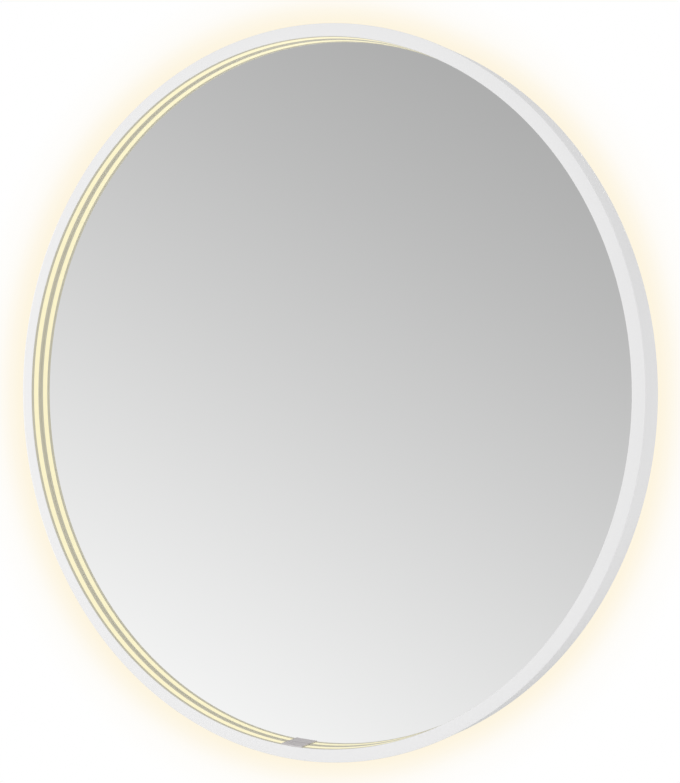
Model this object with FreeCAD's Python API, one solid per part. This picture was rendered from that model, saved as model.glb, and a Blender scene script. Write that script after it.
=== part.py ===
import FreeCAD, Part
import os
from math import asin, cos, degrees, pi, radians, sin, sqrt, tan

# Round wall mirror with a lit inner rim and a backlight, in millimetres.
# X points right and Z up as the mirror hangs. The mirror faces -Y and the wall is the plane Y = 0.
# Everything is modelled about the mirror's own axis, and lowered by AXIS_DROP when it is written,
# so the written origin is the centre of the wall rail's screw slots, on the wall.

V = FreeCAD.Vector
ORIGIN = V(0, 0, 0)
ALONG_X = V(1, 0, 0)
ALONG_Y = V(0, 1, 0)
ALONG_Z = V(0, 0, 1)
CLOSE = 1e-4            # places nearer than this count as one

# ---- Driving dimensions ----------------------------------------------------------------------

MIRROR_D = 800.0        # outside diameter of the rim
AXIS_DROP = 190.0       # mirror's axis below the wall rail's screw slots
RIM_DEPTH = 35.0        # front to back of the rim
HALO_GAP = 10.0         # back of the rim to the wall
FACE_W = 14.0           # width of the rim's front face
RECESS = 16.4           # front plane to the glass
FRONT_LIP = 4.5         # front plane to the lit band
LIT_BAND = 8.0          # width of the lit band on the inner wall
RIM_WALL = 1.8          # rim section's wall
LIP_T = 1.5             # rim section's lips and web
RETURN_LIP = 6.0        # rim's rear lip, outside to edge
EDGE_R = 0.8            # rim section's outer corners
BREAK_R = 0.2           # rim section's small corners
FIT = 0.1               # gap round a piece that sits in another
GLASS_T = 4.0
GLASS_EDGE = 8.5        # glass edge inside the rim's outside
TAPE_T = 1.0            # foam tape between glass and plate
PLATE_T = 1.5
PLATE_EDGE = 9.0        # plate edge inside the rim's outside
SENSOR_W = 27.0         # touch plate, along the rim

R = MIRROR_D / 2
R_IN = R - FACE_W
R_WALL = R - RIM_WALL
R_LIP = R_IN + LIP_T
Y_FRONT = -(RIM_DEPTH + HALO_GAP)
Y_RIM_BACK = -HALO_GAP
Y_BAND = Y_FRONT + FRONT_LIP
Y_WEB = Y_BAND + LIT_BAND
Y_GLASS = Y_FRONT + RECESS
Y_GLASS_BACK = Y_GLASS + GLASS_T
Y_PLATE_FRONT = Y_GLASS_BACK + TAPE_T
Y_PLATE = Y_PLATE_FRONT + PLATE_T   # the plate's rear face, which carries everything behind
BOTTOM = 90.0           # turn about +Y from +X to six o'clock

# Backlight: a U channel on the plate, open towards the wall, with its joint at six o'clock.
CHANNEL_R0 = 362.0
CHANNEL_R1 = 380.0
CHANNEL_T = 1.2
Y_CHANNEL = -9.0        # the channel's mouth
CHANNEL_GAP = 22.0      # opening at the joint, for the leads
FOOT_COUNT = 8
FOOT_R = 356.0          # screw circle of the channel's feet

# Light chips: spacing along each strip.
CHIP_PITCH = 16.67

# Retaining clips.
CLIP_COUNT = 8
CLIP_W = 18.0
CLIP_T = 1.2
CLIP_SCREW_R = 384.8    # screw circle of the clips

# Wall rail and hanger: two bars whose 45 degree lips hook together.
RAIL_T = 3.0
WALL_RAIL_L = 320.0
HANGER_L = 300.0
SLOT_X = 260.0          # slot centres, left to right
SLOT_Z = 22.0           # slot centres, up and down
SLOT_W = 5.5
SLOT_L = 12.0
RAIL_FOOT = 22.0        # rail's lower edge below the slot centres
LIP_ROOT = 27.0         # top of the lip's root above the slot centres
LIP_OUT = 10.0          # how far the lip stands out from the rail
RAIL_CROWN = 14.0       # rail above the lip's root
HOOK_GAP = 0.3

# Driver and junction box, on the plate.
DRIVER = (-105.0, 105.0, -116.0, -64.0)
DRIVER_H = 16.0
BOX = (-215.0, -135.0, 20.0, 80.0)
BOX_H = 18.0
CASE_T = 2.0
LID_T = 2.0
GLAND_Z = 50.0
GLAND_BORE = 3.5

# Leads: outside diameters.
MAINS_D = 6.0
SIGNAL_D = 4.0
FEED_D = 3.0

SCREW_R = 1.5           # shank of the small screws
HOLE_R = 1.6            # the holes they pass
PAN_HEAD = (2.8, 1.9)   # screw heads: radius and height
CASE_HEAD = (2.9, 1.9)
FLAT_HEAD = (3.2, 1.8)
BOX_HEAD = (2.6, 1.8)
LID_HEAD = (2.6, 1.5)
EARTH_HEAD = (4.0, 2.6)

OVERRUN = 1.0           # how far a cutting solid runs past the face that it cuts

# ---- Shape helpers ---------------------------------------------------------------------------


def corner(before, point, after, radius):
    """The two tangent points and the middle of the arc that rounds one corner."""
    a = (before - point).normalize()
    b = (after - point).normalize()
    half = a.getAngle(b) / 2
    inward = (a + b).normalize()
    reach = radius / tan(half)
    middle = point + inward * (radius / sin(half) - radius)
    return point + a * reach, middle, point + b * reach


def rounded_edges(points, radii, closed):
    """Straight runs joined by tangent arcs. A radius of 0 leaves the corner sharp."""
    count = len(points)
    stops = []
    for i, point in enumerate(points):
        at_end = not closed and i in (0, count - 1)
        if at_end or radii[i] == 0:
            stops.append((point, None, point))
        else:
            stops.append(corner(points[i - 1], point, points[(i + 1) % count], radii[i]))
    edges = []
    for i, (start, middle, end) in enumerate(stops):
        if middle is not None:
            edges.append(Part.Arc(start, middle, end).toShape())
        if closed or i < count - 1:
            following = stops[(i + 1) % count][0]
            if (following - end).Length > CLOSE:
                edges.append(Part.LineSegment(end, following).toShape())
    return edges


def face_of(outline, place):
    """A face from (u, v) or (u, v, corner radius) points, put in space by place(u, v)."""
    points = [place(p[0], p[1]) for p in outline]
    radii = [p[2] if len(p) > 2 else 0 for p in outline]
    return Part.Face(Part.Wire(rounded_edges(points, radii, True)))


def turned(profile, x=0.0, z=0.0, start=0.0, sweep=360.0):
    """A (radius, y) profile turned about the Y direction through (x, z)."""
    face = face_of(profile, lambda r, y: V(r, y, 0))
    face.rotate(ORIGIN, ALONG_Y, start)
    solid = face.revolve(ORIGIN, ALONG_Y, sweep)
    solid.translate(V(x, 0, z))
    return solid


def bar(profile, x0, x1):
    """A (y, z) profile drawn out along X."""
    return face_of(profile, lambda y, z: V(x0, y, z)).extrude(V(x1 - x0, 0, 0))


def block(x0, x1, y0, y1, z0, z1):
    return Part.makeBox(x1 - x0, y1 - y0, z1 - z0, V(x0, y0, z0))


def slab(x0, x1, z0, z1, y0, y1, radius=0.0):
    """A block whose four corners, seen along Y, are rounded."""
    outline = [(x0, z0, radius), (x1, z0, radius), (x1, z1, radius), (x0, z1, radius)]
    return face_of(outline, lambda x, z: V(x, y0, z)).extrude(V(0, y1 - y0, 0))


def rod(x, z, radius, y0, y1):
    """A round rod along Y."""
    return Part.makeCylinder(radius, y1 - y0, V(x, y0, z), ALONG_Y)


def soften(shape, size, y):
    """Rounds every edge of the shape that lies in the plane at y."""
    edges = [e for e in shape.Edges
             if abs(e.BoundBox.YMin - y) < CLOSE and abs(e.BoundBox.YMax - y) < CLOSE]
    return shape.makeFillet(size, edges)


def ring_copy(shape, turn):
    """A copy of the shape turned about the mirror's axis."""
    copy = shape.copy()
    copy.rotate(ORIGIN, ALONG_Y, turn)
    return copy


def ring_place(radius, turn):
    """The (x, z) of a place on a circle about the mirror's axis."""
    return radius * cos(radians(turn)), -radius * sin(radians(turn))


def half_angle(width, radius):
    """Half the turn that a width takes on a circle, in degrees."""
    return degrees(asin(width / 2 / radius))


def even_turns(count, first=0.0):
    return [first + 360.0 * i / count for i in range(count)]


def with_holes(shape, places, y0, y1):
    """The shape with the small screws' holes through it, from y0 to y1."""
    for x, z in places:
        shape = shape.cut(rod(x, z, HOLE_R, y0 - OVERRUN, y1 + OVERRUN))
    return shape


def screw(x, z, y_seat, head_size, grip):
    """A pan head screw: head on y_seat, towards the wall, and its shank the other way."""
    head_r, head_h = head_size
    top_r = 0.7 * head_r
    dome_r = 0.3 * head_r
    slot_half = 0.14 * head_r
    slot_reach = 0.6 * head_r
    y_side = y_seat + head_h / 2        # top of the head's straight side, and the slots' floor
    y_top = y_seat + head_h
    outline = [(0, y_seat), (head_r, y_seat), (head_r, y_side), (top_r, y_top, dome_r), (0, y_top)]
    head = turned(outline, x, z)
    cross = block(x - slot_reach, x + slot_reach, y_side, y_top + OVERRUN, z - slot_half, z + slot_half)
    cross = cross.fuse(block(x - slot_half, x + slot_half, y_side, y_top + OVERRUN,
                             z - slot_reach, z + slot_reach))
    return head.cut(cross).fuse(rod(x, z, SCREW_R, y_seat - grip, y_seat)).removeSplitter()


def screws(places, y_seat, head_size, grip):
    return Part.makeCompound([screw(x, z, y_seat, head_size, grip) for x, z in places])


def write(name, shape):
    placed = shape.copy()
    placed.translate(V(0, 0, -AXIS_DROP))
    placed.exportStep("parts/" + name + ".step")


# ---- Rim and front light ---------------------------------------------------------------------


NOTCH_W = 6.0               # the sensor lead's way through the web
NOTCH_DEPTH = 8.2           # from the rim's outside
NOTCH_START = 1.0           # from the inside of the rim's wall


def frame_ring():
    """One extrusion rolled to a circle: light channel in front, glass seat, and a groove behind."""
    lip_foot = Y_FRONT + RIM_WALL
    y_seat = Y_WEB + LIP_T
    y_return = Y_RIM_BACK - LIP_T
    r_return = R - RETURN_LIP
    ring = turned([
        (R, Y_FRONT, EDGE_R), (R_IN, Y_FRONT, EDGE_R), (R_IN, Y_BAND, BREAK_R), (R_LIP, Y_BAND),
        (R_LIP, lip_foot), (R_WALL, lip_foot), (R_WALL, Y_WEB), (R_IN, Y_WEB, BREAK_R),
        (R_IN, Y_GLASS, BREAK_R), (R_LIP, Y_GLASS), (R_LIP, y_seat), (R_WALL, y_seat),
        (R_WALL, y_return), (r_return, y_return), (r_return, Y_RIM_BACK, EDGE_R / 2),
        (R, Y_RIM_BACK, EDGE_R)])
    notch = block(LEAD_X - NOTCH_W / 2, LEAD_X + NOTCH_W / 2, Y_WEB - OVERRUN, y_seat + OVERRUN,
                  NOTCH_START - R_WALL, NOTCH_DEPTH - R)
    return ring.cut(notch)


def front_diffuser():
    """Opal strip that closes the light channel and snaps behind the front lip."""
    gap = half_angle(SENSOR_W + 4 * FIT, R_IN)
    wall = 1.6
    hook = 2.0
    hook_t = 1.5
    face = R_IN + 3 * FIT
    seat = R_LIP + FIT
    wing = seat + hook_t
    back = face + wall
    front = Y_BAND + FIT
    rear = Y_WEB - FIT
    profile = [(face, front), (seat, front), (seat, front - hook), (wing, front - hook),
               (wing, front + wall), (back, front + wall), (back, rear - wall), (wing, rear - wall),
               (wing, rear), (face, rear)]
    return turned(profile, start=BOTTOM + gap, sweep=360 - 2 * gap)


STRIP_T = 0.25
STRIP_R = R_WALL - FIT / 2  # the front strip's outer face, on the rim's wall
STRIP_HALF = 4.0            # half the strip's width
STRIP_CLEAR = 2.0           # its gap at six o'clock beyond the sensor
CHIPS_CLEAR = 8.0           # the same for its chips
STRIP_Y = Y_BAND + 3.5      # the strip's middle line


def front_light_strip():
    gap = half_angle(SENSOR_W + STRIP_CLEAR, R_IN)
    front = STRIP_Y - STRIP_HALF
    rear = STRIP_Y + STRIP_HALF
    inner = STRIP_R - STRIP_T
    return turned([(inner, front), (STRIP_R, front), (STRIP_R, rear), (inner, rear)],
                  start=BOTTOM + gap, sweep=360 - 2 * gap)


def chips(chip, radius, clear_width):
    """Copies of one chip at even pitch all round, leaving out those in the gap at six o'clock."""
    count = round(2 * pi * radius / CHIP_PITCH)
    gap = half_angle(clear_width, radius)
    turns = [t for t in even_turns(count, BOTTOM + 180.0 / count)
             if abs((t - BOTTOM + 180) % 360 - 180) > gap]
    return Part.makeCompound([ring_copy(chip, t) for t in turns])


def front_light_chips():
    chip_l = 3.0
    chip_w = 2.8
    chip_h = 1.2
    solder = 0.01
    seat = STRIP_R - STRIP_T - solder
    chip = block(seat - chip_h, seat, STRIP_Y - chip_w / 2, STRIP_Y + chip_w / 2, -chip_l / 2, chip_l / 2)
    return chips(chip, seat, SENSOR_W + CHIPS_CLEAR)


# ---- Touch sensor, at six o'clock ------------------------------------------------------------

LEAD_X = 4.0                # the sensor lead's place, right of the middle
HOUSING_R = R - 3.6         # the housing's outer face
TOUCH_T = 1.0               # touch plate's thickness
TOUCH_SET = 0.5             # its front edge behind the rim's face
POCKET_R = R_IN + 2.6       # the pocket's inner face
POCKET_Y = (Y_BAND - 1.2, Y_WEB - 1.3)  # the pocket, front to back


def touch_plate():
    """Grey plate over the inner wall, from the front lip to the glass."""
    half = half_angle(SENSOR_W, R_IN)
    rounding = 0.3
    outer = R_IN - FIT / 2
    inner = outer - TOUCH_T
    front = Y_FRONT + TOUCH_SET
    rear = Y_GLASS - 3 * FIT
    return turned([(inner, front, rounding), (outer, front), (outer, rear), (inner, rear, rounding)],
                  start=BOTTOM - half, sweep=2 * half)


def sensor_housing():
    """Moulded block in the gap of the diffuser, with a pocket for the board."""
    half = half_angle(SENSOR_W, R_IN)
    front = Y_FRONT + RIM_WALL + FIT
    step = Y_BAND + FIT
    rear = Y_WEB - FIT
    step_r = R_LIP + 2 * FIT
    wall = 1.5
    body = turned([(R_IN, step), (step_r, step), (step_r, front), (HOUSING_R, front), (HOUSING_R, rear),
                   (R_IN, rear)], start=BOTTOM - half, sweep=2 * half)
    pocket = block(wall - SENSOR_W / 2, SENSOR_W / 2 - wall, *POCKET_Y, -HOUSING_R - OVERRUN, -POCKET_R)
    return body.cut(pocket)


def sensor_board():
    """Touch board with its chip, and the socket that takes the lead."""
    board_t = 1.0
    board_half = 11.5
    standoff = 0.6
    play = 0.2
    chip_half = 3.0
    chip_h = 1.2
    chip_inset = 2.5
    socket_half = 2.5
    socket_l = 3.0
    socket_h = 3.2
    face = -(POCKET_R + standoff)
    back = face - board_t
    y0 = POCKET_Y[0] + play
    y1 = POCKET_Y[1] - play
    board = block(-board_half, board_half, y0, y1, back, face)
    chip = block(-chip_half, chip_half, y0 + chip_inset, y1 - chip_inset, back - chip_h, back)
    socket = block(LEAD_X - socket_half, LEAD_X + socket_half, y1 - socket_l, y1, back - socket_h, back)
    return board.fuse([chip, socket]).removeSplitter()


# ---- Glass, demister and back plate ----------------------------------------------------------

GLASS_R = R - GLASS_EDGE
PLATE_R = R - PLATE_EDGE
ARRIS = 0.5
DEMISTER = (-190.0, 190.0, -140.0, 140.0)
DEMISTER_R = 20.0           # the film's corners
DEMISTER_COVER = (-120.0, -92.0, 101.0, 121.0)
TAPE_BANDS = [(318.0, 330.0), (366.0, 380.0)]
SPACERS = [(-230.0, -215.0), (230.0, -215.0)]
EARTH = (-240.0, -60.0)
RIB_X = 285.0
RIB_HALF_L = 110.0
RIB_HALF_W = 7.0
RIB_H = 1.2
RIB_SIDE = 2.0              # a rib's outside to its groove's
GROOVE_DEPTH = 0.8
PLATE_NOTCH_HALF = 13.0     # the notch in the plate's edge at six o'clock
PLATE_NOTCH_R = 379.0
PAD_T = 0.4


def mirror_glass():
    return turned([(0, Y_GLASS), (GLASS_R - ARRIS, Y_GLASS), (GLASS_R, Y_GLASS + ARRIS),
                   (GLASS_R, Y_GLASS_BACK - ARRIS), (GLASS_R - ARRIS, Y_GLASS_BACK), (0, Y_GLASS_BACK)])


def demister_pad():
    """Heating film stuck to the back of the glass."""
    x0, x1, z0, z1 = DEMISTER
    return slab(x0, x1, z0, z1, Y_GLASS_BACK, Y_GLASS_BACK + PAD_T, DEMISTER_R)


def glass_tape():
    """Two rings of foam tape that bond the glass to the plate."""
    return Part.makeCompound([turned([(r0, Y_GLASS_BACK), (r1, Y_GLASS_BACK), (r1, Y_PLATE_FRONT),
                                      (r0, Y_PLATE_FRONT)]) for r0, r1 in TAPE_BANDS])


def plate_screw_places():
    """Every small screw that passes through the plate."""
    return (clip_places() + foot_places() + hanger_places() + driver_places() + box_places() + [EARTH])


def back_plate():
    """Sheet with two pressed ribs, the lead's notch at six o'clock, and the pad's terminal hole."""
    plate = rod(0, 0, PLATE_R, Y_PLATE_FRONT, Y_PLATE)
    front = Y_PLATE_FRONT - OVERRUN
    rear = Y_PLATE + OVERRUN
    groove_w = RIB_HALF_W - RIB_SIDE
    groove_l = RIB_HALF_L - RIB_SIDE
    for x in (-RIB_X, RIB_X):
        plate = plate.fuse(slab(x - RIB_HALF_W, x + RIB_HALF_W, -RIB_HALF_L, RIB_HALF_L,
                                Y_PLATE, Y_PLATE + RIB_H, RIB_HALF_W - FIT))
        plate = plate.cut(slab(x - groove_w, x + groove_w, -groove_l, groove_l,
                               front, Y_PLATE_FRONT + GROOVE_DEPTH, groove_w - FIT))
    notch_corner = 3.0
    plate = plate.cut(slab(-PLATE_NOTCH_HALF, PLATE_NOTCH_HALF, -R, -PLATE_NOTCH_R,
                           front, rear, notch_corner))
    x0, x1, z0, z1 = DEMISTER_COVER
    inset_x = 8.0
    inset_z = 5.0
    hole_corner = 2.0
    plate = plate.cut(slab(x0 + inset_x, x1 - inset_x, z0 + inset_z, z1 - inset_z,
                           front, rear, hole_corner))
    return with_holes(plate, plate_screw_places(), Y_PLATE_FRONT, Y_PLATE)


def demister_cover():
    """Small moulded cover over the pad's terminals."""
    x0, x1, z0, z1 = DEMISTER_COVER
    height = 7.0
    wall = 2.0
    corner_r = 3.0
    inner_r = 1.5
    rounding = 1.2
    top = Y_PLATE + height
    cover = soften(slab(x0, x1, z0, z1, Y_PLATE, top, corner_r), rounding, top)
    return cover.cut(slab(x0 + wall, x1 - wall, z0 + wall, z1 - wall,
                          Y_PLATE - OVERRUN, top - wall, inner_r))


# ---- Retaining clips -------------------------------------------------------------------------


def clip_turns():
    return even_turns(CLIP_COUNT, 360.0 / CLIP_COUNT / 2)


def clip_places():
    return [ring_place(CLIP_SCREW_R, t) for t in clip_turns()]


def retaining_clips():
    """Bent steel clips: foot on the plate, tab under the rim's return lip."""
    channel_gap = 1.2
    foot_r = CHANNEL_R1 + channel_gap
    riser = 389.4
    tab_r = 397.0
    outer_bend = 1.4
    inner_bend = 0.3
    y_tab = Y_RIM_BACK - LIP_T
    outline = [(foot_r, Y_PLATE), (riser, Y_PLATE, outer_bend), (riser, y_tab - CLIP_T, inner_bend),
               (tab_r, y_tab - CLIP_T), (tab_r, y_tab), (riser - CLIP_T, y_tab, outer_bend),
               (riser - CLIP_T, Y_PLATE + CLIP_T, inner_bend), (foot_r, Y_PLATE + CLIP_T)]
    clip = face_of(outline, lambda r, y: V(r, y, -CLIP_W / 2)).extrude(V(0, 0, CLIP_W))
    clip = with_holes(clip, [(CLIP_SCREW_R, 0)], Y_PLATE, Y_PLATE + CLIP_T)
    return Part.makeCompound([ring_copy(clip, t) for t in clip_turns()])


def clip_screws():
    return screws(clip_places(), Y_PLATE + CLIP_T, PAN_HEAD, CLIP_T + PLATE_T)


def ring_splice():
    """Curved plate that closes the rolled rim's joint, at twelve o'clock, inside the groove."""
    half = 6.0              # half the turn that it covers
    thick = 1.65
    top = BOTTOM + 180
    outer = R_WALL - FIT / 2
    inner = outer - thick
    front = -27.0
    rear = -14.0
    return turned([(inner, front), (outer, front), (outer, rear), (inner, rear)],
                  start=top - half, sweep=2 * half)


# ---- Backlight -------------------------------------------------------------------------------

CHANNEL_HALF = half_angle(CHANNEL_GAP, (CHANNEL_R0 + CHANNEL_R1) / 2)
Y_CHANNEL_FLOOR = Y_PLATE + CHANNEL_T
LEDGE_Y = Y_CHANNEL - 1.8   # the diffuser's seat
LEDGE = 1.0                 # the ledges' width and thickness
FOOT_SHIFT = 11.0           # turn of the feet past the middle between two clips
FOOT_W = 16.0
FOOT_END = 6.0              # foot's screw to its end
FOOT_LAP = 0.6              # foot's root inside the channel's wall


def foot_turns():
    return even_turns(FOOT_COUNT, 360.0 / FOOT_COUNT / 2 + FOOT_SHIFT)


def foot_places():
    return [ring_place(FOOT_R, t) for t in foot_turns()]


def channel_sweep(profile, inset):
    """A profile swept round the channel's circle, short of its joint by inset degrees each end."""
    half = CHANNEL_HALF + inset
    return turned(profile, start=BOTTOM + half, sweep=360 - 2 * half)


def backlight_channel():
    """U section with a ledge inside each wall, and feet that are screwed to the plate."""
    rounding = 0.3
    end_inset = 0.2
    inner = CHANNEL_R0 + CHANNEL_T
    outer = CHANNEL_R1 - CHANNEL_T
    under = LEDGE_Y - LEDGE
    ring = channel_sweep([
        (CHANNEL_R0, Y_PLATE), (CHANNEL_R1, Y_PLATE), (CHANNEL_R1, Y_CHANNEL, rounding), (outer, Y_CHANNEL),
        (outer, LEDGE_Y), (outer - LEDGE, LEDGE_Y), (outer - LEDGE, under), (outer, under),
        (outer, Y_CHANNEL_FLOOR), (inner, Y_CHANNEL_FLOOR), (inner, under), (inner + LEDGE, under),
        (inner + LEDGE, LEDGE_Y), (inner, LEDGE_Y), (inner, Y_CHANNEL), (CHANNEL_R0, Y_CHANNEL, rounding)],
        end_inset)
    foot = block(FOOT_R - FOOT_END, CHANNEL_R0 + FOOT_LAP, Y_PLATE, Y_CHANNEL_FLOOR,
                 -FOOT_W / 2, FOOT_W / 2)
    feet = [ring_copy(foot, t) for t in foot_turns()]
    return with_holes(ring.fuse(feet).removeSplitter(), foot_places(), Y_PLATE, Y_CHANNEL_FLOOR)


def channel_screws():
    return screws(foot_places(), Y_CHANNEL_FLOOR, PAN_HEAD, CHANNEL_T + PLATE_T)


def channel_end_caps():
    """Plastic plates that close the channel on each side of its joint."""
    rounding = 0.5
    thick = 0.19            # as a turn about the axis
    outline = [(CHANNEL_R0, Y_PLATE), (CHANNEL_R1, Y_PLATE), (CHANNEL_R1, Y_CHANNEL, rounding),
               (CHANNEL_R0, Y_CHANNEL, rounding)]
    starts = [BOTTOM - CHANNEL_HALF - thick, BOTTOM + CHANNEL_HALF]
    return Part.makeCompound([turned(outline, start=s, sweep=thick) for s in starts])


BACK_STRIP = (366.0, 376.0)
BACK_STRIP_T = 0.3
BACK_CHIPS_CLEAR = 12.0     # the chips' gap at six o'clock beyond the channel's


def backlight_strip():
    r0, r1 = BACK_STRIP
    top = Y_CHANNEL_FLOOR + BACK_STRIP_T
    end_inset = 0.6
    return channel_sweep([(r0, Y_CHANNEL_FLOOR), (r1, Y_CHANNEL_FLOOR), (r1, top), (r0, top)], end_inset)


def backlight_chips():
    size = 5.0
    height = 1.5
    middle = (BACK_STRIP[0] + BACK_STRIP[1]) / 2
    seat = Y_CHANNEL_FLOOR + BACK_STRIP_T
    chip = block(middle - size / 2, middle + size / 2, seat, seat + height, -size / 2, size / 2)
    return chips(chip, middle, CHANNEL_GAP + BACK_CHIPS_CLEAR)


def backlight_diffuser():
    """Opal cover that sits on the channel's ledges, flush with its mouth, with a leg inside each."""
    side_fit = 0.15
    leg_in = 1.2
    leg_t = 1.0
    leg_h = 2.4
    end_inset = 0.25
    r0 = CHANNEL_R0 + CHANNEL_T + side_fit
    r1 = CHANNEL_R1 - CHANNEL_T - side_fit
    leg0 = r0 + leg_in
    leg1 = r1 - leg_in
    foot = LEDGE_Y - leg_h
    top = Y_CHANNEL - FIT
    return channel_sweep([
        (r0, LEDGE_Y), (leg0, LEDGE_Y), (leg0, foot), (leg0 + leg_t, foot), (leg0 + leg_t, LEDGE_Y),
        (leg1 - leg_t, LEDGE_Y), (leg1 - leg_t, foot), (leg1, foot), (leg1, LEDGE_Y), (r1, LEDGE_Y),
        (r1, top), (r0, top)], end_inset)


# ---- Wall rail and hanger --------------------------------------------------------------------

HOOK_PLANE = AXIS_DROP + LIP_ROOT - RAIL_T   # y + z on the top of the rail's lip
HANGER_FACE = Y_PLATE + RAIL_T
HANGER_FOOT = AXIS_DROP + 2.0
HANGER_HEAD = AXIS_DROP + 54.0
HANGER_ROWS = (AXIS_DROP + 12.0, AXIS_DROP + 34.0)
HANGER_COLUMNS = (-125.0, 0.0, 125.0)
DIAGONAL = sqrt(2)
BAR_R = 0.5                 # the bars' square corners
LIP_BEND = 2.0              # the bend into each lip, on its open side
TIP_R = 0.8                 # the lips' ends
SHARP_R = 0.1               # the bend in the rail's hook
INNER_BEND = 1.0            # the same in the hanger's
POINT_R = 0.4               # the hanger lip's lower point


def wall_cleat():
    """Rail screwed to the wall. Its lip leans out at 45 degrees, to hold the hanger's."""
    root = HOOK_PLANE + RAIL_T
    under = root - RAIL_T * DIAGONAL
    tip_y = -RAIL_T - LIP_OUT
    tip_z = root + LIP_OUT
    edge = RAIL_T / DIAGONAL
    foot = AXIS_DROP - RAIL_FOOT
    crown = root + RAIL_CROWN
    rail = bar([(0, foot, BAR_R), (-RAIL_T, foot, BAR_R), (-RAIL_T, under, LIP_BEND),
                (tip_y - edge, tip_z - edge, TIP_R), (tip_y, tip_z, TIP_R), (-RAIL_T, root, SHARP_R),
                (-RAIL_T, crown, BAR_R), (0, crown, BAR_R)], -WALL_RAIL_L / 2, WALL_RAIL_L / 2)
    round_r = SLOT_W / 2 - 0.001        # just under half the width, so that a short edge stays
    for x in (-SLOT_X / 2, SLOT_X / 2):
        for z in (AXIS_DROP - SLOT_Z / 2, AXIS_DROP + SLOT_Z / 2):
            rail = rail.cut(slab(x - SLOT_L / 2, x + SLOT_L / 2, z - SLOT_W / 2, z + SLOT_W / 2,
                                 -RAIL_T - OVERRUN, OVERRUN, round_r))
    return rail


def rail_end_caps():
    """Moulded caps over the rail's cut ends, lower part only, clear of the lip."""
    wall = 1.5
    end_t = 2.5
    grip = 8.0
    reach = 14.0            # cap's top above the slot centres
    end = WALL_RAIL_L / 2
    z0 = AXIS_DROP - RAIL_FOOT
    z1 = AXIS_DROP + reach
    front = -RAIL_T - wall
    shell = soften(slab(end - grip, end + end_t, z0 - wall, z1, front, 0, wall), wall / 2, front)
    cap = shell.cut(block(end - grip - OVERRUN, end, -RAIL_T, OVERRUN, z0, z1 + OVERRUN))
    return Part.makeCompound([cap, cap.mirror(ORIGIN, ALONG_X)])


def hanger_places():
    return [(x, z) for x in HANGER_COLUMNS for z in HANGER_ROWS]


def hanger_cleat():
    """Bar screwed to the plate. Its lip leans in and down, behind the wall rail's."""
    low = HOOK_PLANE + HOOK_GAP * DIAGONAL
    high = low + RAIL_T * DIAGONAL
    tip_y = -RAIL_T - HOOK_GAP
    hanger = bar([(Y_PLATE, HANGER_FOOT, BAR_R), (HANGER_FACE, HANGER_FOOT, BAR_R),
                  (HANGER_FACE, low - HANGER_FACE, INNER_BEND), (tip_y, low - tip_y, POINT_R),
                  (tip_y, high - tip_y, TIP_R), (HANGER_FACE, high - HANGER_FACE, LIP_BEND),
                  (HANGER_FACE, HANGER_HEAD, BAR_R), (Y_PLATE, HANGER_HEAD, BAR_R)],
                 -HANGER_L / 2, HANGER_L / 2)
    return with_holes(hanger, hanger_places(), Y_PLATE, HANGER_FACE)


def hanger_screws():
    return screws(hanger_places(), HANGER_FACE, FLAT_HEAD, RAIL_T + PLATE_T)


# ---- Spacers that keep the mirror upright ----------------------------------------------------


SPACER_FOOT_R = 15.0
SPACER_FOOT_T = 2.0
SPACER_POST_R = (10.0, 8.5)  # the post's radius at its foot and at its shoulder
SPACER_PEG_R = 4.0          # the peg that holds the pad
Y_PEG = -3.0                # the peg's end
Y_SHOULDER = -5.0           # the post's shoulder, under the pad
PAD_R = 10.0
PAD_CUP = (6.0, 5.0, 0.8)   # the pad's suction cup: rim radius, floor radius and depth


def wall_spacers():
    """Turned posts on the plate, each with a peg for its pad."""
    foot_round = 0.8
    post_round = 1.5
    collar = 1.0
    foot_y = Y_PLATE + SPACER_FOOT_T
    root_r, neck_r = SPACER_POST_R
    neck_y = Y_SHOULDER - collar
    return Part.makeCompound([turned([
        (0, Y_PLATE), (SPACER_FOOT_R, Y_PLATE), (SPACER_FOOT_R, foot_y, foot_round),
        (root_r, foot_y, post_round), (neck_r, neck_y), (neck_r, Y_SHOULDER), (SPACER_PEG_R, Y_SHOULDER),
        (SPACER_PEG_R, Y_PEG), (0, Y_PEG)], x, z) for x, z in SPACERS])


def spacer_pads():
    """Rubber caps pushed over the spacers' ends. They touch the wall."""
    cup_r, floor_r, cup_depth = PAD_CUP
    side_round = 0.6
    front_round = 1.2
    cup_round = 0.3
    return Part.makeCompound([turned([
        (SPACER_PEG_R, Y_SHOULDER), (PAD_R, Y_SHOULDER, side_round), (PAD_R, 0, front_round),
        (cup_r, 0, cup_round), (floor_r, -cup_depth, cup_round), (0, -cup_depth), (0, Y_PEG),
        (SPACER_PEG_R, Y_PEG)], x, z) for x, z in SPACERS])


# ---- Driver ----------------------------------------------------------------------------------


def tray(area, height, radius):
    """An open case: floor on the plate, four walls."""
    x0, x1, z0, z1 = area
    shell = slab(x0, x1, z0, z1, Y_PLATE, Y_PLATE + height, radius)
    inside = slab(x0 + CASE_T, x1 - CASE_T, z0 + CASE_T, z1 - CASE_T, Y_PLATE + CASE_T,
                  Y_PLATE + height + OVERRUN, radius - CASE_T)
    return shell.cut(inside)


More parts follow.
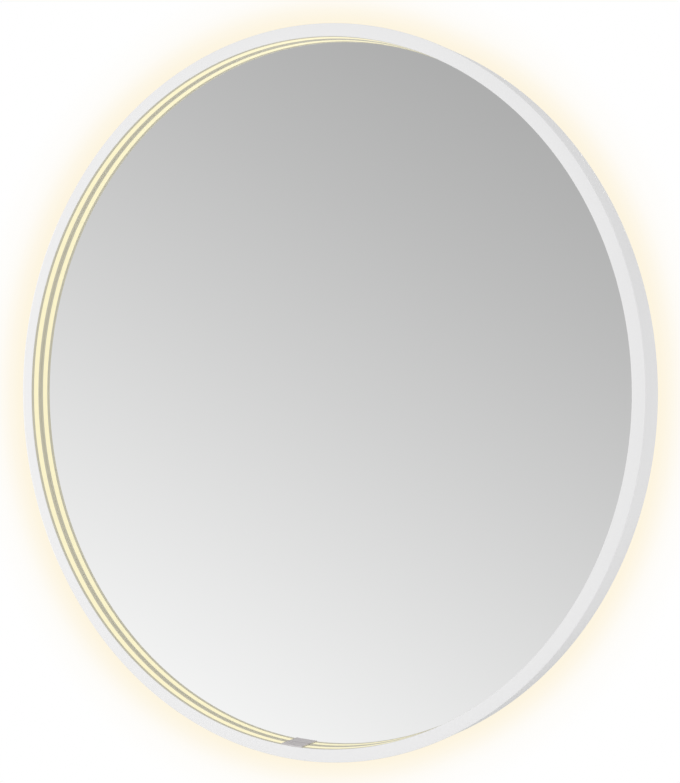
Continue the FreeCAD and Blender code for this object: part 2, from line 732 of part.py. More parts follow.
def lid(area, height, radius):
    """A cover on the tray's walls, with a rib that locates it inside them."""
    x0, x1, z0, z1 = area
    rounding = 1.0
    rib_fit = 0.15
    rib_t = 1.2
    rib_h = 1.0
    top = Y_PLATE + height
    under = top - LID_T
    cover = soften(slab(x0, x1, z0, z1, under, top, radius), rounding, top)
    rib_out = CASE_T + rib_fit
    rib_in = rib_out + rib_t
    rib = slab(x0 + rib_out, x1 - rib_out, z0 + rib_out, z1 - rib_out,
               under - rib_h, under, radius - rib_out)
    hollow = block(x0 + rib_in, x1 - rib_in, under - rib_h - OVERRUN, under, z0 + rib_in, z1 - rib_in)
    return cover.fuse(rib.cut(hollow)).removeSplitter()


DRIVER_R = 4.0
EAR = 12.5                  # how far the case's ears stand out
EAR_HOLE = 6.5              # ear's screw to the case's side
EAR_W = 12.0
EAR_INSET = 9.0             # ear's middle line to the case's long side
EAR_LAP = 1.0               # ear's root inside the case's wall
EAR_R = 1.0


def driver_places():
    """The screws through the case's four ears."""
    x0, x1, z0, z1 = DRIVER
    return [(x, z) for x in (x0 - EAR_HOLE, x1 + EAR_HOLE) for z in (z0 + EAR_INSET, z1 - EAR_INSET)]


def driver_case():
    x0, x1, z0, z1 = DRIVER
    case = tray(DRIVER, DRIVER_H - LID_T, DRIVER_R)
    for x, z in driver_places():
        ear_x = (x0 - EAR, x0 + EAR_LAP) if x < x0 else (x1 - EAR_LAP, x1 + EAR)
        case = case.fuse(slab(*ear_x, z - EAR_W / 2, z + EAR_W / 2, Y_PLATE, Y_PLATE + CASE_T, EAR_R))
    return with_holes(case.removeSplitter(), driver_places(), Y_PLATE, Y_PLATE + CASE_T)


def driver_lid():
    """The driver's cover, with cooling grooves across its middle."""
    count = 12
    pitch = 10.0
    depth = 0.9
    half_w = 1.2
    end_r = 1.19            # just under half the width, so that a short edge stays
    margin = 10.0
    z0 = DRIVER[2] + margin
    z1 = DRIVER[3] - margin
    cover = lid(DRIVER, DRIVER_H, DRIVER_R)
    top = Y_PLATE + DRIVER_H
    for i in range(count):
        x = (i - (count - 1) / 2) * pitch
        cover = cover.cut(slab(x - half_w, x + half_w, z0, z1, top - depth, top + OVERRUN, end_r))
    return cover


BOARD_EDGE = 5.0            # the board's edge inside the case's outside
BOARD_Y = Y_PLATE + CASE_T + 2.0
BOARD_T = 1.6
Y_BOARD = BOARD_Y + BOARD_T     # the board's rear face, which carries its components
BOARD_Z = (DRIVER[2] + DRIVER[3]) / 2


def driver_board():
    x0, x1, z0, z1 = DRIVER
    corner_r = 1.0
    return slab(x0 + BOARD_EDGE, x1 - BOARD_EDGE, z0 + BOARD_EDGE, z1 - BOARD_EDGE,
                BOARD_Y, Y_BOARD, corner_r)


def driver_screws():
    return screws(driver_places(), Y_PLATE + CASE_T, CASE_HEAD, CASE_T + PLATE_T)


def on_board(x0, x1, length, low, high):
    """A block across the board's middle line, from low to high above its face."""
    return block(x0, x1, Y_BOARD + low, Y_BOARD + high, BOARD_Z - length / 2, BOARD_Z + length / 2)


def driver_transformer():
    """Core and winding bobbin in the middle of the board."""
    bobbin_half_w = 9.0
    bobbin_half_l = 12.0
    bobbin_h = 7.4
    bobbin_r = 1.0
    core_half_w = 12.0
    core_l = 12.0
    core_h = (1.0, 7.0)
    bobbin = slab(-bobbin_half_w, bobbin_half_w, BOARD_Z - bobbin_half_l, BOARD_Z + bobbin_half_l,
                  Y_BOARD, Y_BOARD + bobbin_h, bobbin_r)
    core = on_board(-core_half_w, core_half_w, core_l, *core_h)
    return core.fuse(bobbin).removeSplitter()


CANS = ((-62.0, 3.9, 22.0), (-50.0, 3.9, 22.0), (44.0, 3.4, 18.0), (54.0, 3.4, 18.0))   # x, radius, length
FILM_CAPS_X = (-82.0, 74.0)
FILM_CAP = (3.5, 8.0, 7.0, 1.0)     # half width, half length, height and corner radius


def driver_capacitors():
    """Round capacitors that lie on the board, and two flat film ones."""
    parts = []
    for x, radius, length in CANS:
        foot = V(x, Y_BOARD + radius, BOARD_Z - length / 2)
        parts.append(Part.makeCylinder(radius, length, foot, ALONG_Z))
    half_w, half_l, height, corner_r = FILM_CAP
    for x in FILM_CAPS_X:
        parts.append(slab(x - half_w, x + half_w, BOARD_Z - half_l, BOARD_Z + half_l,
                          Y_BOARD, Y_BOARD + height, corner_r))
    return Part.makeCompound(parts)


def driver_heat_sink():
    """Finned bar beside the transformer."""
    sink_x = (20.0, 34.0)
    length = 30.0
    base_t = 2.0
    fin_t = 1.2
    fin_lap = 0.5           # fin's root inside the base
    height = 7.2
    fins_x = (20.0, 24.3, 28.5, 32.8)
    base = on_board(*sink_x, length, 0, base_t)
    fins = [on_board(x, x + fin_t, length, base_t - fin_lap, height) for x in fins_x]
    return base.fuse(fins).removeSplitter()


# ---- Junction box and mains inlet ------------------------------------------------------------

BOX_R = 5.0
BOX_SCREW = 9.0             # box's screws to its sides
BOSS_R = 4.0                # the posts for the lid's screws
BOSS_HOLE = 8.0             # depth of their holes
BOSS_FIT = 0.15             # lid's rib clear of the posts
LID_SCREW_IN = 6.0          # lid's screws below the lid
Y_GLAND = Y_PLATE + 8.4
GLAND_THREAD_R = 6.0
THREAD_FIT = 0.05
GLAND_HEX = 15.0
NUT_HEX = 12.6
NUT_T = 4.0
SIDE_X = BOX[1]             # the wall that carries the gland


def hexagon(x0, x1, across):
    """A hexagonal nut along X, on the gland's axis, with two faces parallel to the plate."""
    reach = across / sqrt(3)
    outline = [(Y_GLAND + reach * sin(radians(60 * i)), GLAND_Z + reach * cos(radians(60 * i)))
               for i in range(6)]
    return bar(outline, x0, x1)


def gland_rod(x0, x1, radius):
    return Part.makeCylinder(radius, x1 - x0, V(x0, Y_GLAND, GLAND_Z), ALONG_X)


def box_places():
    return [(BOX[0] + BOX_SCREW, BOX[2] + BOX_SCREW), (BOX[1] - BOX_SCREW, BOX[3] - BOX_SCREW)]


def lid_screw_places():
    return [(BOX[0] + BOX_SCREW, BOX[3] - BOX_SCREW), (BOX[1] - BOX_SCREW, BOX[2] + BOX_SCREW)]


def junction_box():
    """Open box with two posts for the lid's screws, and the gland's hole in its side."""
    rim = Y_PLATE + BOX_H - LID_T
    box = tray(BOX, BOX_H - LID_T, BOX_R)
    for x, z in lid_screw_places():
        box = box.fuse(rod(x, z, BOSS_R, Y_PLATE + CASE_T / 2, rim))
        box = box.cut(rod(x, z, HOLE_R, rim - BOSS_HOLE, rim + OVERRUN))
    box = box.cut(gland_rod(SIDE_X - CASE_T - OVERRUN, SIDE_X + OVERRUN, GLAND_THREAD_R + THREAD_FIT))
    return with_holes(box.removeSplitter(), box_places(), Y_PLATE, Y_PLATE + CASE_T)


def junction_lid():
    cover = lid(BOX, BOX_H, BOX_R)
    top = Y_PLATE + BOX_H
    under = top - LID_T
    rib_cut = 2.0
    for x, z in lid_screw_places():
        cover = cover.cut(rod(x, z, BOSS_R + BOSS_FIT, under - rib_cut, under))
    return with_holes(cover, lid_screw_places(), under, top)


def junction_lid_screws():
    return screws(lid_screw_places(), Y_PLATE + BOX_H, LID_HEAD, LID_T + LID_SCREW_IN)


def junction_box_screws():
    return screws(box_places(), Y_PLATE + CASE_T, BOX_HEAD, CASE_T + PLATE_T)


BLOCK_X = -176.0
BLOCK_HALF_W = 9.0
BLOCK_HALF_L = 15.0
BLOCK_H = 9.0
BLOCK_R = 1.0
BLOCK_PITCH = 10.0          # from one way to the next
WELL_X = 5.0                # screw wells to the block's middle line
WELL_R = 2.05
WELL_FLOOR = 3.0            # wells' floor above the block's foot
TERMINAL_SEAT = Y_PLATE + CASE_T


def terminal_places():
    return [(BLOCK_X + dx, GLAND_Z + (i - 1) * BLOCK_PITCH) for dx in (-WELL_X, WELL_X) for i in range(3)]


def terminal_block():
    """Three-way block for the mains: live, neutral and earth."""
    slot_floor = 5.0
    slot_half = 0.6
    top = TERMINAL_SEAT + BLOCK_H
    body = slab(BLOCK_X - BLOCK_HALF_W, BLOCK_X + BLOCK_HALF_W,
                GLAND_Z - BLOCK_HALF_L, GLAND_Z + BLOCK_HALF_L, TERMINAL_SEAT, top, BLOCK_R)
    for z in (GLAND_Z - BLOCK_PITCH / 2, GLAND_Z + BLOCK_PITCH / 2):
        body = body.cut(block(BLOCK_X - BLOCK_HALF_W - OVERRUN, BLOCK_X + BLOCK_HALF_W + OVERRUN,
                              TERMINAL_SEAT + slot_floor, top + OVERRUN, z - slot_half, z + slot_half))
    for x, z in terminal_places():
        body = body.cut(rod(x, z, WELL_R, TERMINAL_SEAT + WELL_FLOOR, top + OVERRUN))
    return body


def terminal_screws():
    """Slotted grub screws, one in each well."""
    screw_fit = 0.05
    height = 4.0
    slot_depth = 0.8
    slot_half = 0.4
    radius = WELL_R - screw_fit
    seat = TERMINAL_SEAT + WELL_FLOOR
    top = seat + height
    parts = []
    for x, z in terminal_places():
        slot = block(x - slot_half, x + slot_half, top - slot_depth, top + OVERRUN,
                     z - radius - OVERRUN, z + radius + OVERRUN)
        parts.append(rod(x, z, radius, seat, top).cut(slot))
    return Part.makeCompound(parts)


GLAND_NOSE = 24.0           # how far the gland stands out of the box
GLAND_SEAT = 5.0            # its hexagon flange
GLAND_THREAD_OUT = 7.0      # its thread beyond the flange
GLAND_THREAD_IN = 6.0       # its thread inside the box


def gland_body():
    """Threaded sleeve through the box's wall, with its hexagon flange and its lock nut inside."""
    x0 = SIDE_X - CASE_T - GLAND_THREAD_IN
    x1 = SIDE_X + GLAND_SEAT + GLAND_THREAD_OUT
    sleeve = gland_rod(x0, x1, GLAND_THREAD_R)
    flange = hexagon(SIDE_X, SIDE_X + GLAND_SEAT, GLAND_HEX)
    nut = hexagon(SIDE_X - CASE_T - NUT_T, SIDE_X - CASE_T, NUT_HEX)
    body = sleeve.fuse([flange, nut]).removeSplitter()
    return body.cut(gland_rod(x0 - OVERRUN, x1 + OVERRUN, GLAND_BORE))


def gland_cap():
    """Domed clamping nut with its cable opening."""
    cap_gap = 0.5           # cap to flange
    thread_gap = 0.2        # sleeve's end to the thread's floor
    grip_l = 8.0
    dome_r = 7.4
    rounding = 3.0
    x0 = SIDE_X + GLAND_SEAT + cap_gap
    x1 = SIDE_X + GLAND_NOSE
    thread_end = SIDE_X + GLAND_SEAT + GLAND_THREAD_OUT + thread_gap
    grip = hexagon(x0, x0 + grip_l, GLAND_HEX)
    dome = gland_rod(x0, x1, dome_r)
    edges = [e for e in dome.Edges if e.BoundBox.XMin > x1 - CLOSE]
    dome = dome.makeFillet(rounding, edges)
    cap = grip.fuse(dome).removeSplitter()
    cap = cap.cut(gland_rod(x0 - OVERRUN, thread_end, GLAND_THREAD_R + THREAD_FIT))
    return cap.cut(gland_rod(x0, x1 + OVERRUN, GLAND_BORE))


# ---- Leads -----------------------------------------------------------------------------------


BEND_SHARE = 0.45           # share of the shorter run that a bend takes up
LEAD_LIFT = 0.2             # leads clear of the plate


def arc_radii(points):
    """Each bend as large as its two runs allow, and 0 at the ends."""
    radii = [0.0]
    for before, point, after in zip(points, points[1:], points[2:]):
        shorter = min((point - before).Length, (after - point).Length)
        turn = (point - before).getAngle(after - point)
        radii.append(BEND_SHARE * shorter / tan(turn / 2))
    return radii + [0.0]


def lead(name, points, diameter, last_bend=None):
    """A round lead along straight runs joined by tangent arcs. Prints its bends and its volume."""
    points = [V(*p) for p in points]
    radii = arc_radii(points)
    if last_bend:
        radii[-2] = last_bend
    path = Part.Wire(rounded_edges(points, radii, False))
    first = (points[1] - points[0]).normalize()
    section = Part.Wire([Part.makeCircle(diameter / 2, points[0], first)])
    solid = path.makePipeShell([section], True, False)
    ratio = solid.Volume / (pi * diameter ** 2 / 4 * path.Length)
    bends = " ".join("%.0f" % r for r in radii[1:-1])
    print("%s: %.0f mm long, bends %s, volume ratio %.4f" % (name, path.Length, bends, ratio))
    return solid


def resting(diameter):
    """Height of a lead's middle where it lies on the plate."""
    return Y_PLATE + diameter / 2 + LEAD_LIFT


def flat_route(diameter, places):
    return [(x, resting(diameter), z) for x, z in places]


MAINS_ROUTE = [(-160.0, BOX[2]), (-160.0, -20.0), (-150.0, -62.0), (DRIVER[0] - 22.0, -90.0),
               (DRIVER[0], -90.0)]
DEMISTER_ROUTE = [(-165.0, BOX[3]), (-165.0, 97.0), (-148.0, 111.0), (DEMISTER_COVER[0], 111.0)]
TAG_L = 11.0                # earth lead's end to the middle of its ring tag
TAG_T = 1.0
EARTH_ROUTE = [(-195.0, BOX[2]), (-195.0, -8.0), (-210.0, -30.0),
               (EARTH[0] + TAG_L / DIAGONAL, EARTH[1] + TAG_L / DIAGONAL)]
ENTRY = 82.0                # turn of the backlight lead's way into its channel
BACKLIGHT_ROUTE = [(DRIVER[1], -84.0), (136.0, -84.0), (162.0, -106.0), (162.0, -158.0), (147.0, -206.0),
                   (115.0, -252.0), (79.0, -292.0), ring_place(CHANNEL_R0 - 27.0, ENTRY),
                   ring_place(CHANNEL_R0, ENTRY)]
SENSOR_ROUTE = [(DRIVER[1], -96.0), (130.0, -96.0), (148.0, -114.0), (148.0, -158.0), (129.0, -204.0),
                (96.0, -247.0), (57.0, -284.0), (28.0, -317.0), (LEAD_X, -352.0)]
SENSOR_DIVE = 8.0           # sensor lead's bend round the edge of the glass
SENSOR_END = (R - 5.3, Y_WEB - FIT)     # radius and y of its end, in the rim


def mains_link_lead():
    return lead("mains_link_lead", flat_route(MAINS_D, MAINS_ROUTE), MAINS_D)


def demister_lead():
    return lead("demister_lead", flat_route(SIGNAL_D, DEMISTER_ROUTE), SIGNAL_D)


def earth_lead():
    return lead("earth_lead", flat_route(FEED_D, EARTH_ROUTE), FEED_D)


def backlight_lead():
    return lead("backlight_lead", flat_route(FEED_D, BACKLIGHT_ROUTE), FEED_D)


def sensor_lead():
    """From the driver, through the backlight's joint, round the glass edge and into the rim."""
    edge_r, y_end = SENSOR_END
    points = flat_route(FEED_D, SENSOR_ROUTE)
    points += [(LEAD_X, resting(FEED_D), -edge_r), (LEAD_X, y_end, -edge_r)]
    return lead("sensor_lead", points, FEED_D, SENSOR_DIVE)


def earth_screw():
    return screw(EARTH[0], EARTH[1], Y_PLATE + TAG_T, EARTH_HEAD, PLATE_T + TAG_T)


def earth_tag():
    """Ring tag crimped on the earth lead."""
    ring_r = 5.0
    barrel_l = 6.0
    barrel_wall = 0.15
    tail_x = (3.0, 9.0)     # from the ring's middle
    tail_half = 1.5
    turn = 45.0
    ring = rod(0, 0, ring_r, 0, TAG_T)
    barrel = Part.makeCylinder(FEED_D / 2 + barrel_wall, barrel_l,
                               V(TAG_L - barrel_l, resting(FEED_D) - Y_PLATE, 0), ALONG_X)
    tail = block(*tail_x, 0, TAG_T, -tail_half, tail_half)
    tag = with_holes(ring.fuse([barrel, tail]).removeSplitter(), [(0, 0)], 0, TAG_T)
    tag.rotate(ORIGIN, ALONG_Y, -turn)
    tag.translate(V(EARTH[0], Y_PLATE, EARTH[1]))
    return tag


SADDLE_PAD = (4.0, 7.0, 0.9, 1.5)   # half length, half width, thickness and corner radius
SADDLE_HALF = 3.5           # half the hood's length
SADDLE_WALL = 1.0


def saddle(x, z, turn, diameter):
    """Stick-on clip over a lead that runs at this turn from X."""
    inner = diameter / 2 + FIT
    outer = inner + SADDLE_WALL
    middle = diameter / 2 + LEAD_LIFT
    pad_half, pad_half_w, pad_t, pad_r = SADDLE_PAD
    past = pad_half + OVERRUN
    pad = slab(-pad_half, pad_half, -pad_half_w, pad_half_w, 0, pad_t, pad_r)
    hood = Part.makeCylinder(outer, 2 * SADDLE_HALF, V(-SADDLE_HALF, middle, 0), ALONG_X)
    hood = hood.fuse(block(-SADDLE_HALF, SADDLE_HALF, 0, middle, -outer, outer))
    hood = hood.cut(block(-past, past, -outer, 0, -outer - OVERRUN, outer + OVERRUN))
    clip = pad.fuse(hood).removeSplitter()
    clip = clip.cut(Part.makeCylinder(inner, 2 * past, V(-past, middle, 0), ALONG_X))
    clip = clip.cut(block(-past, past, -OVERRUN, middle, -inner, inner))
    clip.rotate(ORIGIN, ALONG_Y, -turn)
    clip.translate(V(x, Y_PLATE, z))
    return clip


def on_run(route, index, share):
    """Place and turn of a point part way along one run of a flat route."""
    (x0, z0), (x1, z1) = route[index], route[index + 1]
    turn = degrees(V(x1 - x0, z1 - z0, 0).getAngle(ALONG_X))
    if z1 < z0:
        turn = -turn
    return x0 + share * (x1 - x0), z0 + share * (z1 - z0), turn


# Where the stick-on clips sit: the lead, its diameter, and the number of each run with the share along it.
CLIP_SPOTS = [(MAINS_ROUTE, MAINS_D, ((0, 0.35),)), (BACKLIGHT_ROUTE, FEED_D, ((2, 0.5), (4, 0.5))),
              (SENSOR_ROUTE, FEED_D, ((2, 0.5), (4, 0.5), (5, 0.5)))]


def cable_clips():
    clips = []
    for route, diameter, spots in CLIP_SPOTS:
        for index, share in spots:
            clips.append(saddle(*on_run(route, index, share), diameter))
    return Part.makeCompound(clips)


# ---- All the pieces --------------------------------------------------------------------------

PIECES = [
    frame_ring, front_diffuser, front_light_strip, front_light_chips, touch_plate, sensor_housing,
    sensor_board, mirror_glass, demister_pad, glass_tape, back_plate, demister_cover, retaining_clips,
    clip_screws, ring_splice, backlight_channel, channel_screws, channel_end_caps, backlight_strip,
    backlight_chips, backlight_diffuser, wall_cleat, rail_end_caps, hanger_cleat, hanger_screws,
    wall_spacers, spacer_pads, driver_case, driver_lid, driver_board, driver_transformer,
    driver_capacitors, driver_heat_sink, driver_screws, junction_box, junction_lid,
    junction_lid_screws, junction_box_screws, terminal_block, terminal_screws, gland_body, gland_cap,
    mains_link_lead, demister_lead, earth_lead, backlight_lead, sensor_lead, earth_screw, earth_tag,
    cable_clips]

os.makedirs("parts", exist_ok=True)
for piece in PIECES:
    write(piece.__name__, piece())
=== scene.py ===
from math import asin, cos, pi, radians, sin, tan

import bmesh
import bpy
from mathutils import Matrix, Vector


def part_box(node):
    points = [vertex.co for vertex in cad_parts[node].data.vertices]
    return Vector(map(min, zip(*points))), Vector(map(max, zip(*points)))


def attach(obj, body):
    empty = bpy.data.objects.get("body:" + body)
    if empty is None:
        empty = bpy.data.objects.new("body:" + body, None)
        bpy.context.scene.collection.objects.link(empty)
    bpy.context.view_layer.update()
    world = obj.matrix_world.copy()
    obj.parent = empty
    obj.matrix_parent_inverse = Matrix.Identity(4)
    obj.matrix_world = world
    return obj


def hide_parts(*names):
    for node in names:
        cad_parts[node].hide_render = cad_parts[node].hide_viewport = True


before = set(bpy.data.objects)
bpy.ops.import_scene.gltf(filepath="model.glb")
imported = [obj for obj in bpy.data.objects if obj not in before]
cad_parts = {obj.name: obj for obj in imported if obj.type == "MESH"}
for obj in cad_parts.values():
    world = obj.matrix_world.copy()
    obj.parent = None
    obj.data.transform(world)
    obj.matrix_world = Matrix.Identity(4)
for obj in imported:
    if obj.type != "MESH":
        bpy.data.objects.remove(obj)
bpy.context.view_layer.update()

# A round lighted wall mirror, in metres and in the frame's own axes. It faces -Y and hangs on the wall, which
# is the plane Y = 0.

scene = bpy.context.scene
MM = 0.001

# ---- Sizes, from the frame -------------------------------------------------------------------

rim_low, rim_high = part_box("frame_ring")
glass_low, glass_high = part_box("mirror_glass")
touch_low, touch_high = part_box("touch_plate")
channel_low, channel_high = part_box("backlight_channel")
opal_low, opal_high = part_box("backlight_diffuser")
earth_low, earth_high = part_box("earth_lead")

RIM_R = round((rim_high.x - rim_low.x) / 2, 4)
AXIS_Z = round((rim_high.z + rim_low.z) / 2, 4)
Y_FRONT = round(rim_low.y, 4)
Y_BACK = round(rim_high.y, 4)
Y_GLASS = round(glass_low.y, 4)
Y_GLASS_BACK = round(glass_high.y, 4)
GLASS_R = round((glass_high.x - glass_low.x) / 2, 4)
TOUCH_W = round(touch_high.x - touch_low.x, 4)

# The rim's section.
FACE_W = 14 * MM
FRONT_LIP = 4.5 * MM        # front plane to the lit band
LIT_BAND = 8 * MM
RIM_WALL = 1.8 * MM
LIP_T = 1.5 * MM
RETURN_LIP = 6 * MM
EDGE_R = 0.8 * MM
BREAK_R = 0.2 * MM
LIP_SHADE_EDGE = 0.6 * EDGE_R    # the lips' painted shade starts this far behind the front plane
FIT = 0.1 * MM              # gap round a piece that sits in another
R_IN = RIM_R - FACE_W
R_WALL = RIM_R - RIM_WALL
R_LIP = R_IN + LIP_T
Y_BAND = Y_FRONT + FRONT_LIP
Y_WEB = Y_BAND + LIT_BAND

# Turns about the mirror's axis: 0 is +X, and a quarter turn is twelve o'clock.
SIX = -pi / 2
ROUND_STEPS = 480           # flat faces round the mirror
CORNER_STEPS = 4            # flat faces over a rounded corner
SMOOTH_BELOW = radians(30)  # edges flatter than this are shaded smooth
BEVEL_ABOVE = radians(40)   # edges sharper than this are rounded by a bevel

# ---- Mesh helpers ----------------------------------------------------------------------------


def rounded(outline):
    """A closed outline of (radius, y) or (radius, y, corner radius), with those corners as arcs."""
    points = []
    count = len(outline)
    for i, entry in enumerate(outline):
        corner = Vector(entry[:2])
        if len(entry) < 3:
            points.append(corner)
            continue
        a = (Vector(outline[i - 1][:2]) - corner).normalized()
        b = (Vector(outline[(i + 1) % count][:2]) - corner).normalized()
        half = a.angle(b) / 2
        middle = corner + (a + b).normalized() * (entry[2] / sin(half))
        first = corner + a * (entry[2] / tan(half)) - middle
        last = corner + b * (entry[2] / tan(half)) - middle
        for k in range(CORNER_STEPS + 1):
            blend = first.lerp(last, k / CORNER_STEPS)
            points.append(middle + blend.normalized() * entry[2])
    return points


def finished(name, mesh):
    """Faces outward, smooth shading on all but the sharp edges, and an object for the mesh."""
    work = bmesh.new()
    work.from_mesh(mesh)
    bmesh.ops.recalc_face_normals(work, faces=work.faces)
    work.to_mesh(mesh)
    work.free()
    mesh.shade_smooth()
    mesh.set_sharp_from_angle(angle=SMOOTH_BELOW)
    piece = bpy.data.objects.new(name, mesh)
    scene.collection.objects.link(piece)
    return piece


def turned(name, outline, start=0.0, sweep=2 * pi, steps=ROUND_STEPS, closed=True):
    """An outline turned about the mirror's axis. An open one gets flat faces over its two ends' rings."""
    whole = sweep >= 2 * pi
    rings = steps if whole else steps + 1
    count = len(outline)
    places = []
    for i in range(rings):
        turn = start + sweep * i / steps
        places += [(p[0] * cos(turn), p[1], AXIS_Z + p[0] * sin(turn)) for p in outline]
    faces = []
    for i in range(steps):
        a = i * count
        b = (i + 1) % rings * count
        for j in range(count if closed else count - 1):
            k = (j + 1) % count
            faces.append((a + j, a + k, b + k, b + j))
    if not closed:
        faces.append([i * count for i in range(rings)])
        faces.append([i * count + count - 1 for i in range(rings)])
    elif not whole:
        faces.append(list(range(count)))
        faces.append(list(range((rings - 1) * count, rings * count)))
    mesh = bpy.data.meshes.new(name)
    mesh.from_pydata(places, [], faces)
    return finished(name, mesh)


def half_turn(width, radius):
    """Half the turn that a width takes on a circle."""
    return asin(width / 2 / radius)


def paint(piece, materials, pick):
    """Gives a piece its materials. pick(radius, y) says which one a face at that place has."""
    for material in materials:
        piece.data.materials.append(material)
    for face in piece.data.polygons:
        x, y, z = face.center
        face.material_index = pick(Vector((x, z - AXIS_Z)).length, y)


def bevel(piece, width):
    """Rounds the piece's sharp edges."""
    modifier = piece.modifiers.new("edges", "BEVEL")
    modifier.width = width
    modifier.segments = 3
    modifier.limit_method = "ANGLE"
    modifier.angle_limit = BEVEL_ABOVE
    modifier.harden_normals = True


def stands_for(piece, node):
    """The piece rides the mirror in a CAD node's place, and that node is hidden."""
    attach(piece, "mirror")
    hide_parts(node)


# ---- Material helpers ------------------------------------------------------------------------


class Finish:
    """A Principled material, with patterns in the object's own coordinates."""

    def __init__(self, name, colour, roughness, metallic=0.0):
        self.material = bpy.data.materials.new(name)
        self.material.use_nodes = True
        self.tree = self.material.node_tree
        self.shader = self.tree.nodes["Principled BSDF"]
        self.put("Base Color", (*colour, 1))
        self.put("Roughness", roughness)
        self.put("Metallic", metallic)
        self.place = self.add("ShaderNodeTexCoord").outputs["Object"]

    def add(self, kind, **settings):
        node = self.tree.nodes.new(kind)
        for key, value in settings.items():
            setattr(node, key, value)
        return node

    def put(self, socket, value):
        """Sets one of the shader's sockets, or links it to a pattern."""
        if isinstance(value, bpy.types.NodeSocket):
            self.tree.links.new(value, self.shader.inputs[socket])
        else:
            self.shader.inputs[socket].default_value = value

    def fill(self, node, **values):
        """Sets or links a node's inputs by name, or by number as i0, i1 and so on."""
        for key, value in values.items():
            known = key[0] == "i" and key[1:].isdigit()
            socket = node.inputs[int(key[1:]) if known else key]
            if isinstance(value, bpy.types.NodeSocket):
                self.tree.links.new(value, socket)
            else:
                socket.default_value = value
        return node

    def bend(self):
        """Turns the place into the way round the mirror's axis, the depth and the radius."""
        x = self.axis("X")
        z = self.maths("SUBTRACT", self.axis("Z"), AXIS_Z)
        way = self.maths("MULTIPLY", self.maths("ARCTAN2", z, x), RIM_R)
        square = self.maths("ADD", self.maths("MULTIPLY", x, x), self.maths("MULTIPLY", z, z))
        radius = self.maths("SQRT", square)
        bent = self.fill(self.add("ShaderNodeCombineXYZ"), X=way, Y=self.axis("Y"), Z=radius)
        self.place = bent.outputs[0]

    def stretched(self, stretch, turn=(0, 0, 0)):
        mapping = self.add("ShaderNodeMapping")
        return self.fill(mapping, Vector=self.place, Scale=stretch, Rotation=turn).outputs[0]

    def noise(self, scale, detail, stretch=None, turn=(0, 0, 0), roughness=0.5):
        """Noise with that many features to a metre, as a number from about 0.2 to 0.8."""
        place = self.stretched(stretch, turn) if stretch else self.place
        node = self.add("ShaderNodeTexNoise")
        return self.fill(node, Vector=place, Scale=scale, Detail=detail, Roughness=roughness).outputs["Fac"]

    def cells(self, scale):
        """How far the nearest of scattered points is, with that many points to a metre."""
        node = self.add("ShaderNodeTexVoronoi", feature="F1")
        return self.fill(node, Vector=self.place, Scale=scale).outputs["Distance"]

    def axis(self, name):
        """One coordinate of the place, in metres."""
        return self.fill(self.add("ShaderNodeSeparateXYZ"), Vector=self.place).outputs[name]

    def maths(self, operation, a, b=0.0):
        node = self.add("ShaderNodeMath", operation=operation)
        return self.fill(node, i0=a, i1=b).outputs[0]

    def spread(self, value, low, high, source=(0.3, 0.7)):
        """The value, stretched from its source range to low..high."""
        node = self.add("ShaderNodeMapRange")
        self.fill(node, i0=value, i1=source[0], i2=source[1], i3=low, i4=high)
        return node.outputs[0]

    def mix(self, share, a, b):
        """Colour a where share is 0, and b where it is 1. Colour a may be a pattern."""
        node = self.add("ShaderNodeMix", data_type="RGBA")
        first = a if isinstance(a, bpy.types.NodeSocket) else (*a, 1)
        return self.fill(node, i0=share, i6=first, i7=(*b, 1)).outputs[2]

    def shade(self, pattern, dark, light):
        """The base colour, from dark to light over the pattern."""
        self.put("Base Color", self.mix(self.spread(pattern, 0, 1), dark, light))

    def bump(self, height, distance, strength):
        node = self.fill(self.add("ShaderNodeBump"), Height=height, Distance=distance, Strength=strength)
        self.put("Normal", node.outputs[0])

    def glow(self, colour, strength):
        self.put("Emission Color", colour)
        self.put("Emission Strength", strength)


def tinted(colour, share):
    return tuple(c * share for c in colour)


# ---- Materials -------------------------------------------------------------------------------

WHITE_COAT = (0.84, 0.838, 0.842)
# The lips' coat is the white coat darkened and warmed: painted shade, with the lit band's warm light painted
# in.
LIP_SHADE_COAT = (0.69, 0.66, 0.52)
TOUCH_GREY = (0.642, 0.612, 0.623)
SILVER = (0.99, 0.993, 0.991)
SHEATH_ROUGHNESS = 0.38


def powder_coat(name, colour, roughness=0.42):
    """Satin powder coat, with its fine orange peel."""
    f = Finish(name, colour, roughness)
    peel = f.noise(900, detail=2)
    wide = f.noise(11, detail=2)
    f.shade(wide, tinted(colour, 0.985), colour)
    f.put("Roughness", f.spread(peel, roughness - 0.04, roughness + 0.05))
    f.bump(peel, 0.02 * MM, 0.5)
    return f.material


def opal(name, colour, glow, strength, chips):
    """Lit opal plastic: a little brighter over each light chip behind it."""
    f = Finish(name, colour, 0.45)
    x = f.axis("X")
    z = f.maths("SUBTRACT", f.axis("Z"), AXIS_Z)
    turn = f.maths("ARCTAN2", z, x)
    wave = f.maths("SINE", f.maths("MULTIPLY", turn, float(chips)))
    grain = f.noise(700, detail=1)
    soft = f.maths("ADD", wave, f.spread(grain, -0.3, 0.3))
    f.glow(f.mix(f.spread(soft, 0, 1, (-1.2, 1.2)), tinted(glow, 0.985), glow), strength)
    f.bump(grain, 0.01 * MM, 0.3)
    return f.material


def moulded(name, colour, roughness=0.5):
    """Moulded plastic with a fine spark texture."""
    f = Finish(name, colour, roughness)
    spark = f.noise(1600, detail=2, roughness=0.6)
    flow = f.noise(24, detail=2, stretch=(1, 1, 0.35))
    f.shade(flow, tinted(colour, 0.96), tinted(colour, 1.01))
    f.put("Roughness", f.spread(spark, roughness - 0.08, roughness + 0.08))
    f.bump(spark, 0.03 * MM, 0.6)
    return f.material


